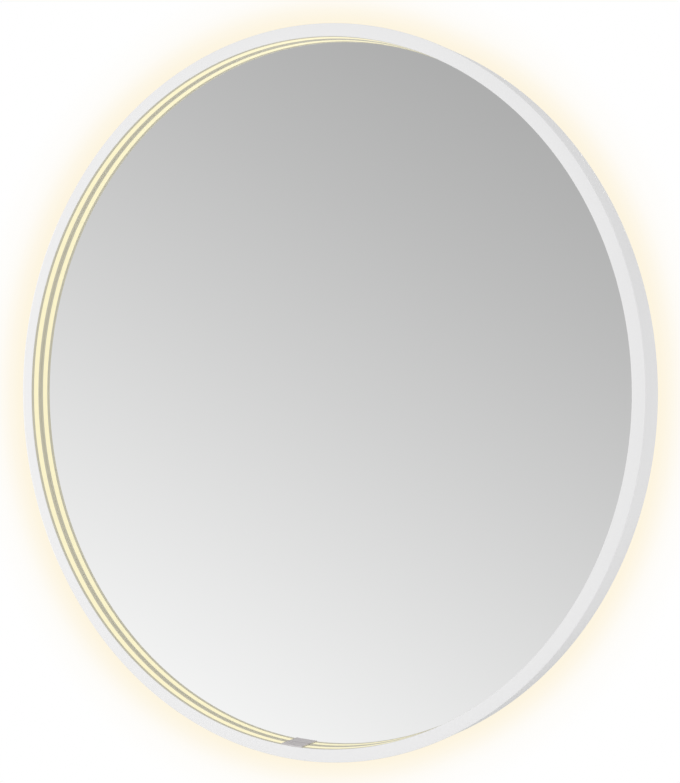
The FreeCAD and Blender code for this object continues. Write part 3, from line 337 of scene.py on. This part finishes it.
def drawn_metal(name, colour, roughness, stretch, depth=0.01, round_axis=False):
    """Metal with lines along the way it was rolled or drawn, which may be round the mirror's axis."""
    f = Finish(name, colour, roughness, 1.0)
    if round_axis:
        f.bend()
    lines = f.noise(1.0, detail=5, stretch=stretch, roughness=0.65)
    cloud = f.noise(7, detail=3)
    tone = f.maths("ADD", f.maths("MULTIPLY", lines, 0.6), f.maths("MULTIPLY", cloud, 0.4))
    f.shade(tone, tinted(colour, 0.90), tinted(colour, 1.04))
    f.put("Roughness", f.spread(tone, roughness - 0.07, roughness + 0.09))
    f.bump(lines, depth * MM, 0.5)
    return f.material


def plated_steel(name):
    """Bright zinc plate, with its faint blue and yellow cast and a worn high spot here and there."""
    blue = (0.62, 0.66, 0.74)
    straw = (0.78, 0.75, 0.66)
    f = Finish(name, blue, 0.3, 1.0)
    cast = f.noise(160, detail=2)
    spots = f.noise(900, detail=3)
    f.put("Base Color", f.mix(f.spread(cast, 0.15, 0.85), blue, straw))
    f.put("Roughness", f.spread(spots, 0.22, 0.42))
    f.bump(spots, 0.01 * MM, 0.4)
    return f.material


def sheath(name, colour):
    """Soft extruded sheath of a lead."""
    f = Finish(name, colour, SHEATH_ROUGHNESS)
    grain = f.noise(450, detail=2)
    scuff = f.noise(60, detail=4, roughness=0.7)
    f.shade(scuff, tinted(colour, 0.93), tinted(colour, 1.02))
    f.put("Roughness", f.spread(scuff, SHEATH_ROUGHNESS - 0.06, SHEATH_ROUGHNESS + 0.12))
    f.bump(grain, 0.03 * MM, 0.4)
    return f.material


def striped_sheath(name, green, yellow):
    """Earth lead: green, with a yellow stripe along its top."""
    f = Finish(name, green, SHEATH_ROUGHNESS)
    middle = (earth_low.y + earth_high.y) / 2
    stripe_edge = (0.75 * MM, 0.85 * MM)
    rise = f.maths("SUBTRACT", f.axis("Y"), middle)
    stripe = f.spread(rise, 0, 1, stripe_edge)
    f.put("Base Color", f.mix(stripe, green, yellow))
    f.bump(f.noise(450, detail=2), 0.03 * MM, 0.4)
    return f.material


def silvered():
    """The glass's front: its silver, under the faint unevenness that a wiped mirror keeps."""
    f = Finish("silvered_front", SILVER, 0.0, 1.0)
    wipes = f.noise(5, detail=3, stretch=(1, 1, 2.2), turn=(0, radians(25), 0))
    f.put("Roughness", f.spread(wipes, 0.0, 0.012))
    return f.material


def glass_edge():
    """Ground and polished edge of the glass, with the green of its depth."""
    f = Finish("glass_edge", (0.30, 0.46, 0.40), 0.22)
    ground = f.noise(1200, detail=2)
    f.shade(ground, (0.24, 0.40, 0.34), (0.36, 0.52, 0.46))
    f.bump(ground, 0.01 * MM, 0.5)
    return f.material


def backing_paint():
    """Protective paint on the back of the silver."""
    f = Finish("backing_paint", (0.34, 0.36, 0.37), 0.55)
    mist = f.noise(300, detail=3)
    f.shade(mist, (0.31, 0.33, 0.34), (0.37, 0.39, 0.40))
    f.bump(mist, 0.02 * MM, 0.5)
    return f.material


def brushed_paint(name, colour):
    """Satin grey of the touch plate, with fine lines along the rim."""
    f = Finish(name, colour, 0.4)
    lines = f.noise(1.0, detail=4, stretch=(60, 2600, 2600), roughness=0.6)
    f.shade(lines, tinted(colour, 0.93), tinted(colour, 1.05))
    f.put("Roughness", f.spread(lines, 0.34, 0.5))
    f.bump(lines, 0.01 * MM, 0.4)
    return f.material


def circuit_board(name, lacquer, track):
    """Green lacquer with its tracks a shade lighter, and small tinned pads."""
    tin = (0.62, 0.62, 0.60)
    f = Finish(name, lacquer, 0.28)
    grid = f.add("ShaderNodeTexBrick", offset=0.5, squash=1.0)
    f.fill(grid, Vector=f.stretched((1, 1, 1), (radians(90), 0, 0)), Scale=180.0)
    grid.inputs["Mortar Size"].default_value = 0.09
    lines = f.mix(grid.outputs["Fac"], lacquer, track)
    dots = f.spread(f.cells(260), 1, 0, (0.10, 0.14))
    f.put("Base Color", f.mix(dots, lines, tin))
    f.put("Metallic", f.maths("MULTIPLY", dots, 0.8))
    f.bump(grid.outputs["Fac"], 0.03 * MM, 0.5)
    return f.material


def heater_film():
    """Cream film with the printed heating track that runs to and fro."""
    cream = (0.85, 0.82, 0.74)
    ink = (0.42, 0.38, 0.33)
    f = Finish("heater_film", cream, 0.4)
    wave = f.fill(f.add("ShaderNodeTexWave", bands_direction="Z", wave_profile="SIN"),
                  Vector=f.place, Scale=18.0, Distortion=0.0)
    track = f.spread(wave.outputs["Fac"], 0, 1, (0.62, 0.7))
    f.put("Base Color", f.mix(track, cream, ink))
    f.bump(track, 0.04 * MM, 0.6)
    return f.material


def foam():
    f = Finish("foam_tape", (0.86, 0.86, 0.84), 0.9)
    cell = f.cells(1400)
    f.shade(cell, (0.74, 0.74, 0.72), (0.88, 0.88, 0.86))
    f.bump(cell, 0.15 * MM, 0.7)
    return f.material


def rubber():
    f = Finish("pad_rubber", (0.03, 0.03, 0.032), 0.75)
    grain = f.noise(1100, detail=3)
    bloom = f.noise(90, detail=3)
    f.shade(bloom, (0.022, 0.022, 0.024), (0.05, 0.05, 0.052))
    f.put("Roughness", f.spread(grain, 0.66, 0.88))
    f.bump(grain, 0.05 * MM, 0.6)
    return f.material


def sleeved_can():
    """Capacitors: dark sleeves, and yellow film ones at the board's ends."""
    film_yellow = (0.72, 0.50, 0.10)
    f = Finish("capacitors", (0.05, 0.06, 0.09), 0.35)
    film_from = (66 * MM, 67 * MM)
    ends = f.spread(f.maths("ABSOLUTE", f.axis("X")), 0, 1, film_from)
    grain = f.noise(300, detail=2)
    dark = f.mix(f.spread(grain, 0, 1), (0.04, 0.05, 0.08), (0.07, 0.08, 0.12))
    f.put("Base Color", f.mix(ends, dark, film_yellow))
    f.bump(grain, 0.02 * MM, 0.4)
    return f.material


def wound_core():
    """Ferrite core with yellow tape round its bobbin."""
    tape_yellow = (0.78, 0.62, 0.12)
    f = Finish("ferrite_core", (0.06, 0.06, 0.065), 0.6)
    z_middle = sum(p.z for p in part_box("driver_transformer")) / 2
    out = f.maths("ABSOLUTE", f.maths("SUBTRACT", f.axis("Z"), z_middle))
    tape_from = (6.1 * MM, 6.3 * MM)
    tape = f.spread(out, 0, 1, tape_from)
    grain = f.noise(800, detail=3)
    core = f.mix(f.spread(grain, 0, 1), (0.04, 0.04, 0.045), (0.09, 0.09, 0.095))
    f.put("Base Color", f.mix(tape, core, tape_yellow))
    f.bump(grain, 0.04 * MM, 0.6)
    return f.material


def light_chip():
    """Phosphor face in a white body."""
    f = Finish("light_chip", (0.95, 0.86, 0.42), 0.35)
    grain = f.noise(2500, detail=2)
    f.shade(grain, (0.93, 0.80, 0.34), (0.96, 0.90, 0.52))
    f.bump(grain, 0.01 * MM, 0.4)
    return f.material


def white_strip():
    """White flexible board, with copper pads at even pitch."""
    white = (0.88, 0.88, 0.86)
    copper = (0.72, 0.46, 0.26)
    f = Finish("light_strip", white, 0.35)
    pads = f.spread(f.cells(120), 1, 0, (0.07, 0.10))
    f.put("Base Color", f.mix(pads, white, copper))
    f.bump(f.noise(500, detail=2), 0.01 * MM, 0.4)
    return f.material


def machined_brass():
    f = Finish("brass", (0.72, 0.56, 0.27), 0.28, 1.0)
    lines = f.noise(1.0, detail=4, stretch=(1500, 300, 1500), roughness=0.6)
    f.shade(lines, (0.62, 0.46, 0.20), (0.80, 0.64, 0.34))
    f.put("Roughness", f.spread(lines, 0.2, 0.38))
    f.bump(lines, 0.01 * MM, 0.4)
    return f.material


FRONT_OPAL = (0.20, 0.19, 0.14)
FRONT_GLOW = (0.98, 0.905, 0.585)
FRONT_STRENGTH = 0.838
FRONT_CHIPS = 148
BACK_OPAL = (0.25, 0.23, 0.18)
BACK_GLOW = (1.0, 0.86, 0.62)
BACK_STRENGTH = 0.86
BACK_CHIPS = 140

white_coat = powder_coat("rim_white_coat", WHITE_COAT)
lip_shade_coat = powder_coat("rim_inner_lip_painted_shade", LIP_SHADE_COAT, 0.36)
opal_front = opal("opal_front_lit", FRONT_OPAL, FRONT_GLOW, FRONT_STRENGTH, FRONT_CHIPS)
opal_back = opal("opal_back_lit", BACK_OPAL, BACK_GLOW, BACK_STRENGTH, BACK_CHIPS)
white_plastic = moulded("white_plastic", (0.80, 0.80, 0.79))
grey_plastic = moulded("grey_plastic", (0.42, 0.43, 0.44))
black_plastic = moulded("black_plastic", (0.025, 0.025, 0.028), 0.45)
cover_plastic = moulded("cover_plastic", (0.76, 0.77, 0.76), 0.46)
plate_metal = drawn_metal("plate_aluminium", (0.80, 0.81, 0.82), 0.34, (900, 900, 5))
channel_metal = drawn_metal("anodised_channel", (0.84, 0.85, 0.86), 0.30, (6, 1500, 1500), round_axis=True)
rail_metal = drawn_metal("rail_aluminium", (0.72, 0.73, 0.75), 0.30, (4, 1300, 1300), 0.02)
sink_metal = drawn_metal("sink_aluminium", (0.78, 0.78, 0.80), 0.35, (900, 900, 6))
zinc = plated_steel("bright_zinc")
brass = machined_brass()
strip = white_strip()
chip = light_chip()

# ---- Pieces made here, each in its CAD node's place --------------------------------------------


def make_rim():
    """White rim, with the section's lips on its inner wall in a greyer, warmer coat, which is painted shade
    with the lit band's warm light painted in.
    """
    lip_foot = Y_FRONT + RIM_WALL
    y_seat = Y_WEB + LIP_T
    y_return = Y_BACK - LIP_T
    r_return = RIM_R - RETURN_LIP
    section = rounded([
        (RIM_R, Y_FRONT, EDGE_R), (R_IN, Y_FRONT, EDGE_R), (R_IN, Y_BAND, BREAK_R), (R_LIP, Y_BAND),
        (R_LIP, lip_foot), (R_WALL, lip_foot), (R_WALL, Y_WEB), (R_IN, Y_WEB, BREAK_R),
        (R_IN, Y_GLASS, BREAK_R), (R_LIP, Y_GLASS), (R_LIP, y_seat), (R_WALL, y_seat),
        (R_WALL, y_return), (r_return, y_return), (r_return, Y_BACK, EDGE_R / 2), (RIM_R, Y_BACK, EDGE_R)])
    rim = turned("rim", section)

    def pick(radius, y):
        # Faces on the inner lips, back from the front edge, get the coat of painted shade.
        in_lip_shade = radius < R_IN + BREAK_R and y > Y_FRONT + LIP_SHADE_EDGE
        return 1 if in_lip_shade else 0

    paint(rim, [white_coat, lip_shade_coat], pick)
    stands_for(rim, "frame_ring")


def make_front_lens():
    """Opal strip of the lit band, a little back from the lips, with a hooked wing on each side."""
    wall = 1.6 * MM
    hook = 2.0 * MM
    set_back = 3 * FIT
    end_fit = 2 * FIT
    face = R_IN + set_back
    seat = R_LIP + FIT
    wing = seat + LIP_T
    back = face + wall
    front = Y_BAND + FIT
    rear = Y_WEB - FIT
    gap = half_turn(TOUCH_W + 2 * end_fit, R_IN)
    section = rounded([
        (face, front, BREAK_R), (seat, front), (seat, front - hook), (wing, front - hook),
        (wing, front + wall), (back, front + wall), (back, rear - wall), (wing, rear - wall),
        (wing, rear), (face, rear, BREAK_R)])
    lens = turned("front_lens", section, SIX + gap, 2 * (pi - gap))
    paint(lens, [opal_front], lambda radius, y: 0)
    stands_for(lens, "front_diffuser")


def make_touch_face():
    """Grey touch plate, rounded on every edge."""
    thick = 1.0 * MM
    edge_r = 0.3 * MM
    steps = 24
    outer = R_IN - FIT / 2
    inner = outer - thick
    half = half_turn(TOUCH_W, R_IN)
    section = [Vector((inner, touch_low.y)), Vector((outer, touch_low.y)),
               Vector((outer, touch_high.y)), Vector((inner, touch_high.y))]
    touch = turned("touch_face", section, SIX - half, 2 * half, steps)
    paint(touch, [brushed_paint("touch_grey", TOUCH_GREY)], lambda radius, y: 0)
    bevel(touch, edge_r)
    stands_for(touch, "touch_plate")


def make_glass():
    """Silvered glass: polished front, ground edges and painted back."""
    arris = 0.5 * MM
    section = [Vector((GLASS_R - arris, Y_GLASS)), Vector((GLASS_R, Y_GLASS + arris)),
               Vector((GLASS_R, Y_GLASS_BACK - arris)), Vector((GLASS_R - arris, Y_GLASS_BACK))]
    glass = turned("silvered_glass", section, closed=False)

    def pick(radius, y):
        if radius > R_IN:
            return 1
        return 0 if y < (Y_GLASS + Y_GLASS_BACK) / 2 else 2

    paint(glass, [silvered(), glass_edge(), backing_paint()], pick)
    stands_for(glass, "mirror_glass")


def make_back_lens():
    """Opal cover of the backlight, with rounded shoulders and a leg inside each ledge of its channel."""
    inset = 16.65 * MM          # from the channel's outside to the cover's inner edge
    cover_t = 1.7 * MM
    leg_in = 1.2 * MM
    leg_t = 1.0 * MM
    leg_h = 2.4 * MM
    shoulder_r = 0.8 * MM
    lead_gap = 22 * MM          # the channel's opening at six o'clock
    end_inset = radians(0.25)
    r0 = round((channel_high.x - channel_low.x) / 2, 3) - inset
    r1 = round((opal_high.x - opal_low.x) / 2, 5)
    y1 = opal_high.y
    y0 = y1 - cover_t
    y_foot = y0 - leg_h
    leg0 = r0 + leg_in
    leg1 = r1 - leg_in
    section = rounded([
        (r0, y0), (leg0, y0), (leg0, y_foot), (leg0 + leg_t, y_foot), (leg0 + leg_t, y0),
        (leg1 - leg_t, y0), (leg1 - leg_t, y_foot), (leg1, y_foot), (leg1, y0), (r1, y0),
        (r1, y1, shoulder_r), (r0, y1, shoulder_r)])
    gap = half_turn(lead_gap, (r0 + r1) / 2) + end_inset
    lens = turned("back_lens", section, SIX + gap, 2 * (pi - gap))
    paint(lens, [opal_back], lambda radius, y: 0)
    stands_for(lens, "backlight_diffuser")


make_rim()
make_front_lens()
make_touch_face()
make_glass()
make_back_lens()

# ---- CAD nodes that keep their shape and get a finish ------------------------------------------

FINISHES = {
    "front_light_strip": strip,
    "front_light_chips": chip,
    "sensor_housing": grey_plastic,
    "sensor_board": circuit_board("sensor_board_green", (0.05, 0.22, 0.12), (0.10, 0.36, 0.20)),
    "demister_pad": heater_film(),
    "glass_tape": foam(),
    "back_plate": plate_metal,
    "demister_cover": cover_plastic,
    "retaining_clips": zinc,
    "clip_screws": zinc,
    "ring_splice": zinc,
    "backlight_channel": channel_metal,
    "channel_screws": zinc,
    "channel_end_caps": white_plastic,
    "backlight_strip": strip,
    "backlight_chips": chip,
    "wall_cleat": rail_metal,
    "rail_end_caps": black_plastic,
    "hanger_cleat": rail_metal,
    "hanger_screws": zinc,
    "wall_spacers": white_plastic,
    "spacer_pads": rubber(),
    "driver_case": white_plastic,
    "driver_lid": cover_plastic,
    "driver_board": circuit_board("driver_board_green", (0.04, 0.20, 0.11), (0.08, 0.32, 0.18)),
    "driver_transformer": wound_core(),
    "driver_capacitors": sleeved_can(),
    "driver_heat_sink": sink_metal,
    "driver_screws": zinc,
    "junction_box": white_plastic,
    "junction_lid": cover_plastic,
    "junction_lid_screws": zinc,
    "junction_box_screws": zinc,
    "terminal_block": grey_plastic,
    "terminal_screws": brass,
    "gland_body": black_plastic,
    "gland_cap": black_plastic,
    "mains_link_lead": sheath("white_sheath", (0.80, 0.80, 0.79)),
    "demister_lead": sheath("cream_sheath", (0.78, 0.77, 0.73)),
    "earth_lead": striped_sheath("earth_sheath", (0.10, 0.42, 0.08), (0.85, 0.72, 0.06)),
    "backlight_lead": sheath("black_sheath", (0.03, 0.03, 0.032)),
    "sensor_lead": sheath("grey_sheath", (0.10, 0.10, 0.105)),
    "earth_screw": brass,
    "earth_tag": zinc,
    "cable_clips": white_plastic,
}
for name, finish in FINISHES.items():
    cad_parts[name].material_slots[0].material = finish

# ---- Camera ----------------------------------------------------------------------------------

# The camera is fitted to the rim's edges in the photograph, which is 680 by 783 pixels, and turned about the
# mirror's axis until the touch plate is at six o'clock.
IMAGE_H = 783
FOCAL_PX = 1430.31
CAMERA_FROM_FACE = Vector((862.7, -1302.0, 9.8)) * MM    # from the centre of the rim's front plane
YAW = radians(31.63)
PITCH = radians(-0.292)
ROLL = radians(0.281)
SENSOR_MM = 36.0
CLIP = (0.01, 60)           # nearest and furthest that the camera sees

forward = Vector((-sin(YAW) * cos(PITCH), cos(YAW) * cos(PITCH), sin(PITCH)))
level_right = Vector((cos(YAW), sin(YAW), 0))
level_up = level_right.cross(forward)
image_right = level_right * cos(ROLL) + level_up * sin(ROLL)
image_up = level_up * cos(ROLL) - level_right * sin(ROLL)

lens = bpy.data.cameras.new("camera")
lens.sensor_width = SENSOR_MM
lens.lens = FOCAL_PX * SENSOR_MM / IMAGE_H
lens.clip_start, lens.clip_end = CLIP
camera = bpy.data.objects.new("camera", lens)
scene.collection.objects.link(camera)
axes = Matrix((image_right, image_up, -forward)).transposed().to_4x4()
camera.matrix_world = Matrix.Translation(Vector((0, Y_FRONT, AXIS_Z)) + CAMERA_FROM_FACE) @ axes
scene.camera = camera

# ---- Studio ----------------------------------------------------------------------------------

AMBIENT = 0.835

# The sweep that the mirror shows: dark up and right in the photograph, light down and left.
SWEEP_LEFT = 0.5
SWEEP_DOWN = 0.87
# How far along that way, from -1 to 1, and the tone there as the screen shows it.
SWEEP = [(-1, 0.7535), (-0.5, 0.659), (-0.23, 0.678), (-0.12, 0.738), (0, 0.811), (0.23, 0.956),
         (0.36, 0.947), (0.7, 0.694)]
SCREEN_GAMMA = 2.2


def grey_ramp(tree, stops, interpolation):
    """A colour ramp of greys, from its (position, grey) stops."""
    node = tree.nodes.new("ShaderNodeValToRGB")
    ramp = node.color_ramp
    ramp.interpolation = interpolation
    while len(ramp.elements) < len(stops):
        ramp.elements.new(1.0)
    for element, (position, grey) in zip(ramp.elements, stops):
        element.position = position
        element.color = (grey, grey, grey, 1)
    return node


def make_world():
    """White where the camera sees it, plain light on the object, and a soft grey sweep for the mirror."""
    world = bpy.data.worlds.new("studio")
    scene.world = world
    world.use_nodes = True
    tree = world.node_tree
    tree.nodes.clear()
    rays = tree.nodes.new("ShaderNodeLightPath")
    way = tree.nodes.new("ShaderNodeTexCoord")

    # The sweep's way in the photograph, as the mirror turns it round.
    flipped_right = Vector((image_right.x, -image_right.y, image_right.z))
    flipped_up = Vector((image_up.x, -image_up.y, image_up.z))
    sweep_axis = (flipped_right * -SWEEP_LEFT + flipped_up * -SWEEP_DOWN).normalized()
    along = tree.nodes.new("ShaderNodeVectorMath")
    along.operation = "DOT_PRODUCT"
    along.inputs[1].default_value = sweep_axis
    tree.links.new(way.outputs["Generated"], along.inputs[0])
    share = tree.nodes.new("ShaderNodeMapRange")
    share.inputs["From Min"].default_value = -1.0
    tree.links.new(along.outputs["Value"], share.inputs["Value"])
    ramp = grey_ramp(tree, [((at + 1) / 2, tone) for at, tone in SWEEP], "LINEAR")
    tree.links.new(share.outputs[0], ramp.inputs[0])
    linear = tree.nodes.new("ShaderNodeMath")
    linear.operation = "POWER"
    linear.inputs[1].default_value = SCREEN_GAMMA
    tree.links.new(ramp.outputs["Color"], linear.inputs[0])

    plain = tree.nodes.new("ShaderNodeBackground")
    plain.inputs["Color"].default_value = (AMBIENT, AMBIENT, AMBIENT, 1)
    swept = tree.nodes.new("ShaderNodeBackground")
    tree.links.new(linear.outputs[0], swept.inputs["Color"])
    white = tree.nodes.new("ShaderNodeBackground")
    white.inputs["Color"].default_value = (1, 1, 1, 1)

    # The sweep is what the mirror shows. The light that the walls get by way of the mirror is plain.
    shown = tree.nodes.new("ShaderNodeMath")
    shown.operation = "GREATER_THAN"
    tree.links.new(rays.outputs["Is Glossy Ray"], shown.inputs[0])
    tree.links.new(rays.outputs["Diffuse Depth"], shown.inputs[1])
    glossy = tree.nodes.new("ShaderNodeMixShader")
    tree.links.new(shown.outputs[0], glossy.inputs[0])
    tree.links.new(plain.outputs[0], glossy.inputs[1])
    tree.links.new(swept.outputs[0], glossy.inputs[2])
    seen = tree.nodes.new("ShaderNodeMath")
    seen.operation = "MAXIMUM"
    tree.links.new(rays.outputs["Is Camera Ray"], seen.inputs[0])
    tree.links.new(rays.outputs["Is Transmission Ray"], seen.inputs[1])
    final = tree.nodes.new("ShaderNodeMixShader")
    tree.links.new(seen.outputs[0], final.inputs[0])
    tree.links.new(glossy.outputs[0], final.inputs[1])
    tree.links.new(white.outputs[0], final.inputs[2])
    output = tree.nodes.new("ShaderNodeOutputWorld")
    tree.links.new(final.outputs[0], output.inputs["Surface"])


LAMP_SIZE = 1.0
LAMPS = {                   # place, and power in watts
    "key": ((-0.9, -1.9, -0.25), 9),
    "side": ((2.4, -0.5, 0.4), 3),
    "rear": ((-0.3, 3.0, 0.7), 20),
}


def make_lamp(name, place, power):
    """A soft square lamp aimed at the mirror's middle, seen by nothing but the surfaces that it lights."""
    light = bpy.data.lights.new(name, "AREA")
    light.shape = "SQUARE"
    light.size = LAMP_SIZE
    light.energy = power
    lamp = bpy.data.objects.new(name, light)
    scene.collection.objects.link(lamp)
    lamp.location = place
    lamp.rotation_euler = (Vector((0, 0, AXIS_Z)) - Vector(place)).to_track_quat("-Z", "Y").to_euler()
    lamp.visible_camera = False
    lamp.visible_glossy = False


FLOOR_Z = -0.85
FLOOR_R = 0.75
FLOOR_FADE = (0.35, 0.73)   # from whole to clear, as distances from its middle
FLOOR_GREY = 0.86
FLOOR_LIFT = 0.24           # what the camera sees over the light on it, so that it ends up white
FLOOR_STEPS = 96


def make_floor():
    """Pale floor under the mirror. It keeps the soft shadow and fades out to white."""
    mesh = bpy.data.meshes.new("floor")
    turns = [2 * pi * i / FLOOR_STEPS for i in range(FLOOR_STEPS)]
    ring = [(FLOOR_R * cos(turn), FLOOR_R * sin(turn), FLOOR_Z) for turn in turns]
    mesh.from_pydata(ring, [], [list(range(FLOOR_STEPS))])
    floor = bpy.data.objects.new("floor", mesh)
    scene.collection.objects.link(floor)
    material = bpy.data.materials.new("floor")
    material.use_nodes = True
    tree = material.node_tree
    tree.nodes.clear()
    rays = tree.nodes.new("ShaderNodeLightPath")
    way = tree.nodes.new("ShaderNodeTexCoord")
    level = tree.nodes.new("ShaderNodeVectorMath")
    level.operation = "MULTIPLY"
    level.inputs[1].default_value = (1, 1, 0)
    tree.links.new(way.outputs["Object"], level.inputs[0])
    reach = tree.nodes.new("ShaderNodeVectorMath")
    reach.operation = "LENGTH"
    tree.links.new(level.outputs[0], reach.inputs[0])
    fade = tree.nodes.new("ShaderNodeMapRange")
    fade.interpolation_type = "SMOOTHSTEP"
    fade.inputs["From Min"].default_value, fade.inputs["From Max"].default_value = FLOOR_FADE
    tree.links.new(reach.outputs["Value"], fade.inputs["Value"])
    paper = tree.nodes.new("ShaderNodeBsdfDiffuse")
    paper.inputs["Color"].default_value = (FLOOR_GREY, FLOOR_GREY, FLOOR_GREY, 1)
    lift = tree.nodes.new("ShaderNodeEmission")
    tree.links.new(rays.outputs["Is Camera Ray"], lift.inputs["Color"])
    lift.inputs["Strength"].default_value = FLOOR_LIFT
    lit = tree.nodes.new("ShaderNodeAddShader")
    tree.links.new(paper.outputs[0], lit.inputs[0])
    tree.links.new(lift.outputs[0], lit.inputs[1])
    clear = tree.nodes.new("ShaderNodeBsdfTransparent")
    mixed = tree.nodes.new("ShaderNodeMixShader")
    tree.links.new(fade.outputs[0], mixed.inputs[0])
    tree.links.new(lit.outputs[0], mixed.inputs[1])
    tree.links.new(clear.outputs[0], mixed.inputs[2])
    output = tree.nodes.new("ShaderNodeOutputMaterial")
    tree.links.new(mixed.outputs[0], output.inputs["Surface"])
    mesh.materials.append(material)
    floor.visible_glossy = False


HALO_TINT = (0.987, 0.912, 0.75)
# The tint's strength over the halo's width.
HALO_FALL = [(0, 1), (0.13, 0.836), (0.24, 0.64), (0.37, 0.38), (0.53, 0.176), (0.73, 0.085), (1, 0)]
# The halo's width round the turn: the first, plus the second by its cosine, plus the third by that squared.
HALO_REACH = (65.5 * MM, -20.5 * MM, 15 * MM)
HALO_AHEAD = (0.42, 0.87)   # where the sheet starts and ends its way forward, as the turn's cosine below 0
HALO_STEPS = 360


def make_halo():
    """The backlight's warm halo round the rim: a clear sheet that tints the white behind it."""
    steps = HALO_STEPS
    rings = ([], [], [])
    for i in range(steps):
        turn = 2 * pi * i / steps
        # The sheet is level with the rim's back, and comes forward on the side away from the camera.
        ahead = min(max((-cos(turn) - HALO_AHEAD[0]) / (HALO_AHEAD[1] - HALO_AHEAD[0]), 0), 1)
        ahead = ahead * ahead * (3 - 2 * ahead)
        depth = (Y_BACK + EDGE_R / 2) * (1 - ahead) + Y_FRONT * ahead
        inner = RIM_R - 2 * EDGE_R * (1 - ahead)
        # The rim's front edge, as the camera sees it, falls on the sheet as a larger circle beside the rim.
        grown = 1 + (depth - Y_FRONT) / -CAMERA_FROM_FACE.y
        aside = CAMERA_FROM_FACE.x * (1 - grown)
        edge = aside * cos(turn) + ((RIM_R * grown) ** 2 - (aside * sin(turn)) ** 2) ** 0.5
        edge = max(edge, RIM_R)
        wide = HALO_REACH[0] + HALO_REACH[1] * cos(turn) + HALO_REACH[2] * cos(turn) ** 2
        for ring, radius in zip(rings, (inner, edge + BREAK_R, edge + grown * wide)):
            ring.append((radius * cos(turn), depth, radius * sin(turn)))
    places = rings[0] + rings[1] + rings[2]
    reach = [0.0] * (2 * steps) + [1.0] * steps
    faces = []
    for a in (0, steps):
        for i in range(steps):
            k = (i + 1) % steps
            faces.append((a + i, a + steps + i, a + steps + k, a + k))
    mesh = bpy.data.meshes.new("halo")
    mesh.from_pydata(places, [], faces)
    mesh.attributes.new("reach", "FLOAT", "POINT").data.foreach_set("value", reach)
    halo = bpy.data.objects.new("halo", mesh)
    scene.collection.objects.link(halo)
    halo.location = (0, 0, AXIS_Z)
    material = bpy.data.materials.new("halo")
    material.use_nodes = True
    tree = material.node_tree
    tree.nodes.clear()
    out = tree.nodes.new("ShaderNodeAttribute")
    out.attribute_name = "reach"
    fall = grey_ramp(tree, HALO_FALL, "CARDINAL")
    tree.links.new(out.outputs["Fac"], fall.inputs[0])
    # There is no wall here to catch the light, so from behind the sheet is clear.
    side = tree.nodes.new("ShaderNodeNewGeometry")
    share = tree.nodes.new("ShaderNodeMath")
    share.operation = "SUBTRACT"
    share.use_clamp = True
    tree.links.new(fall.outputs["Color"], share.inputs[0])
    tree.links.new(side.outputs["Backfacing"], share.inputs[1])
    tint = tree.nodes.new("ShaderNodeMix")
    tint.data_type = "RGBA"
    tint.inputs[6].default_value = (1, 1, 1, 1)
    tint.inputs[7].default_value = (*HALO_TINT, 1)
    tree.links.new(share.outputs[0], tint.inputs[0])
    clear = tree.nodes.new("ShaderNodeBsdfTransparent")
    tree.links.new(tint.outputs[2], clear.inputs["Color"])
    output = tree.nodes.new("ShaderNodeOutputMaterial")
    tree.links.new(clear.outputs[0], output.inputs["Surface"])
    mesh.materials.append(material)
    for ray in ("diffuse", "glossy", "transmission", "volume_scatter", "shadow"):
        setattr(halo, "visible_" + ray, False)
    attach(halo, "mirror")


make_world()
for name, (place, power) in LAMPS.items():
    make_lamp(name, place, power)
make_floor()
make_halo()
scene.view_settings.view_transform = "Standard"
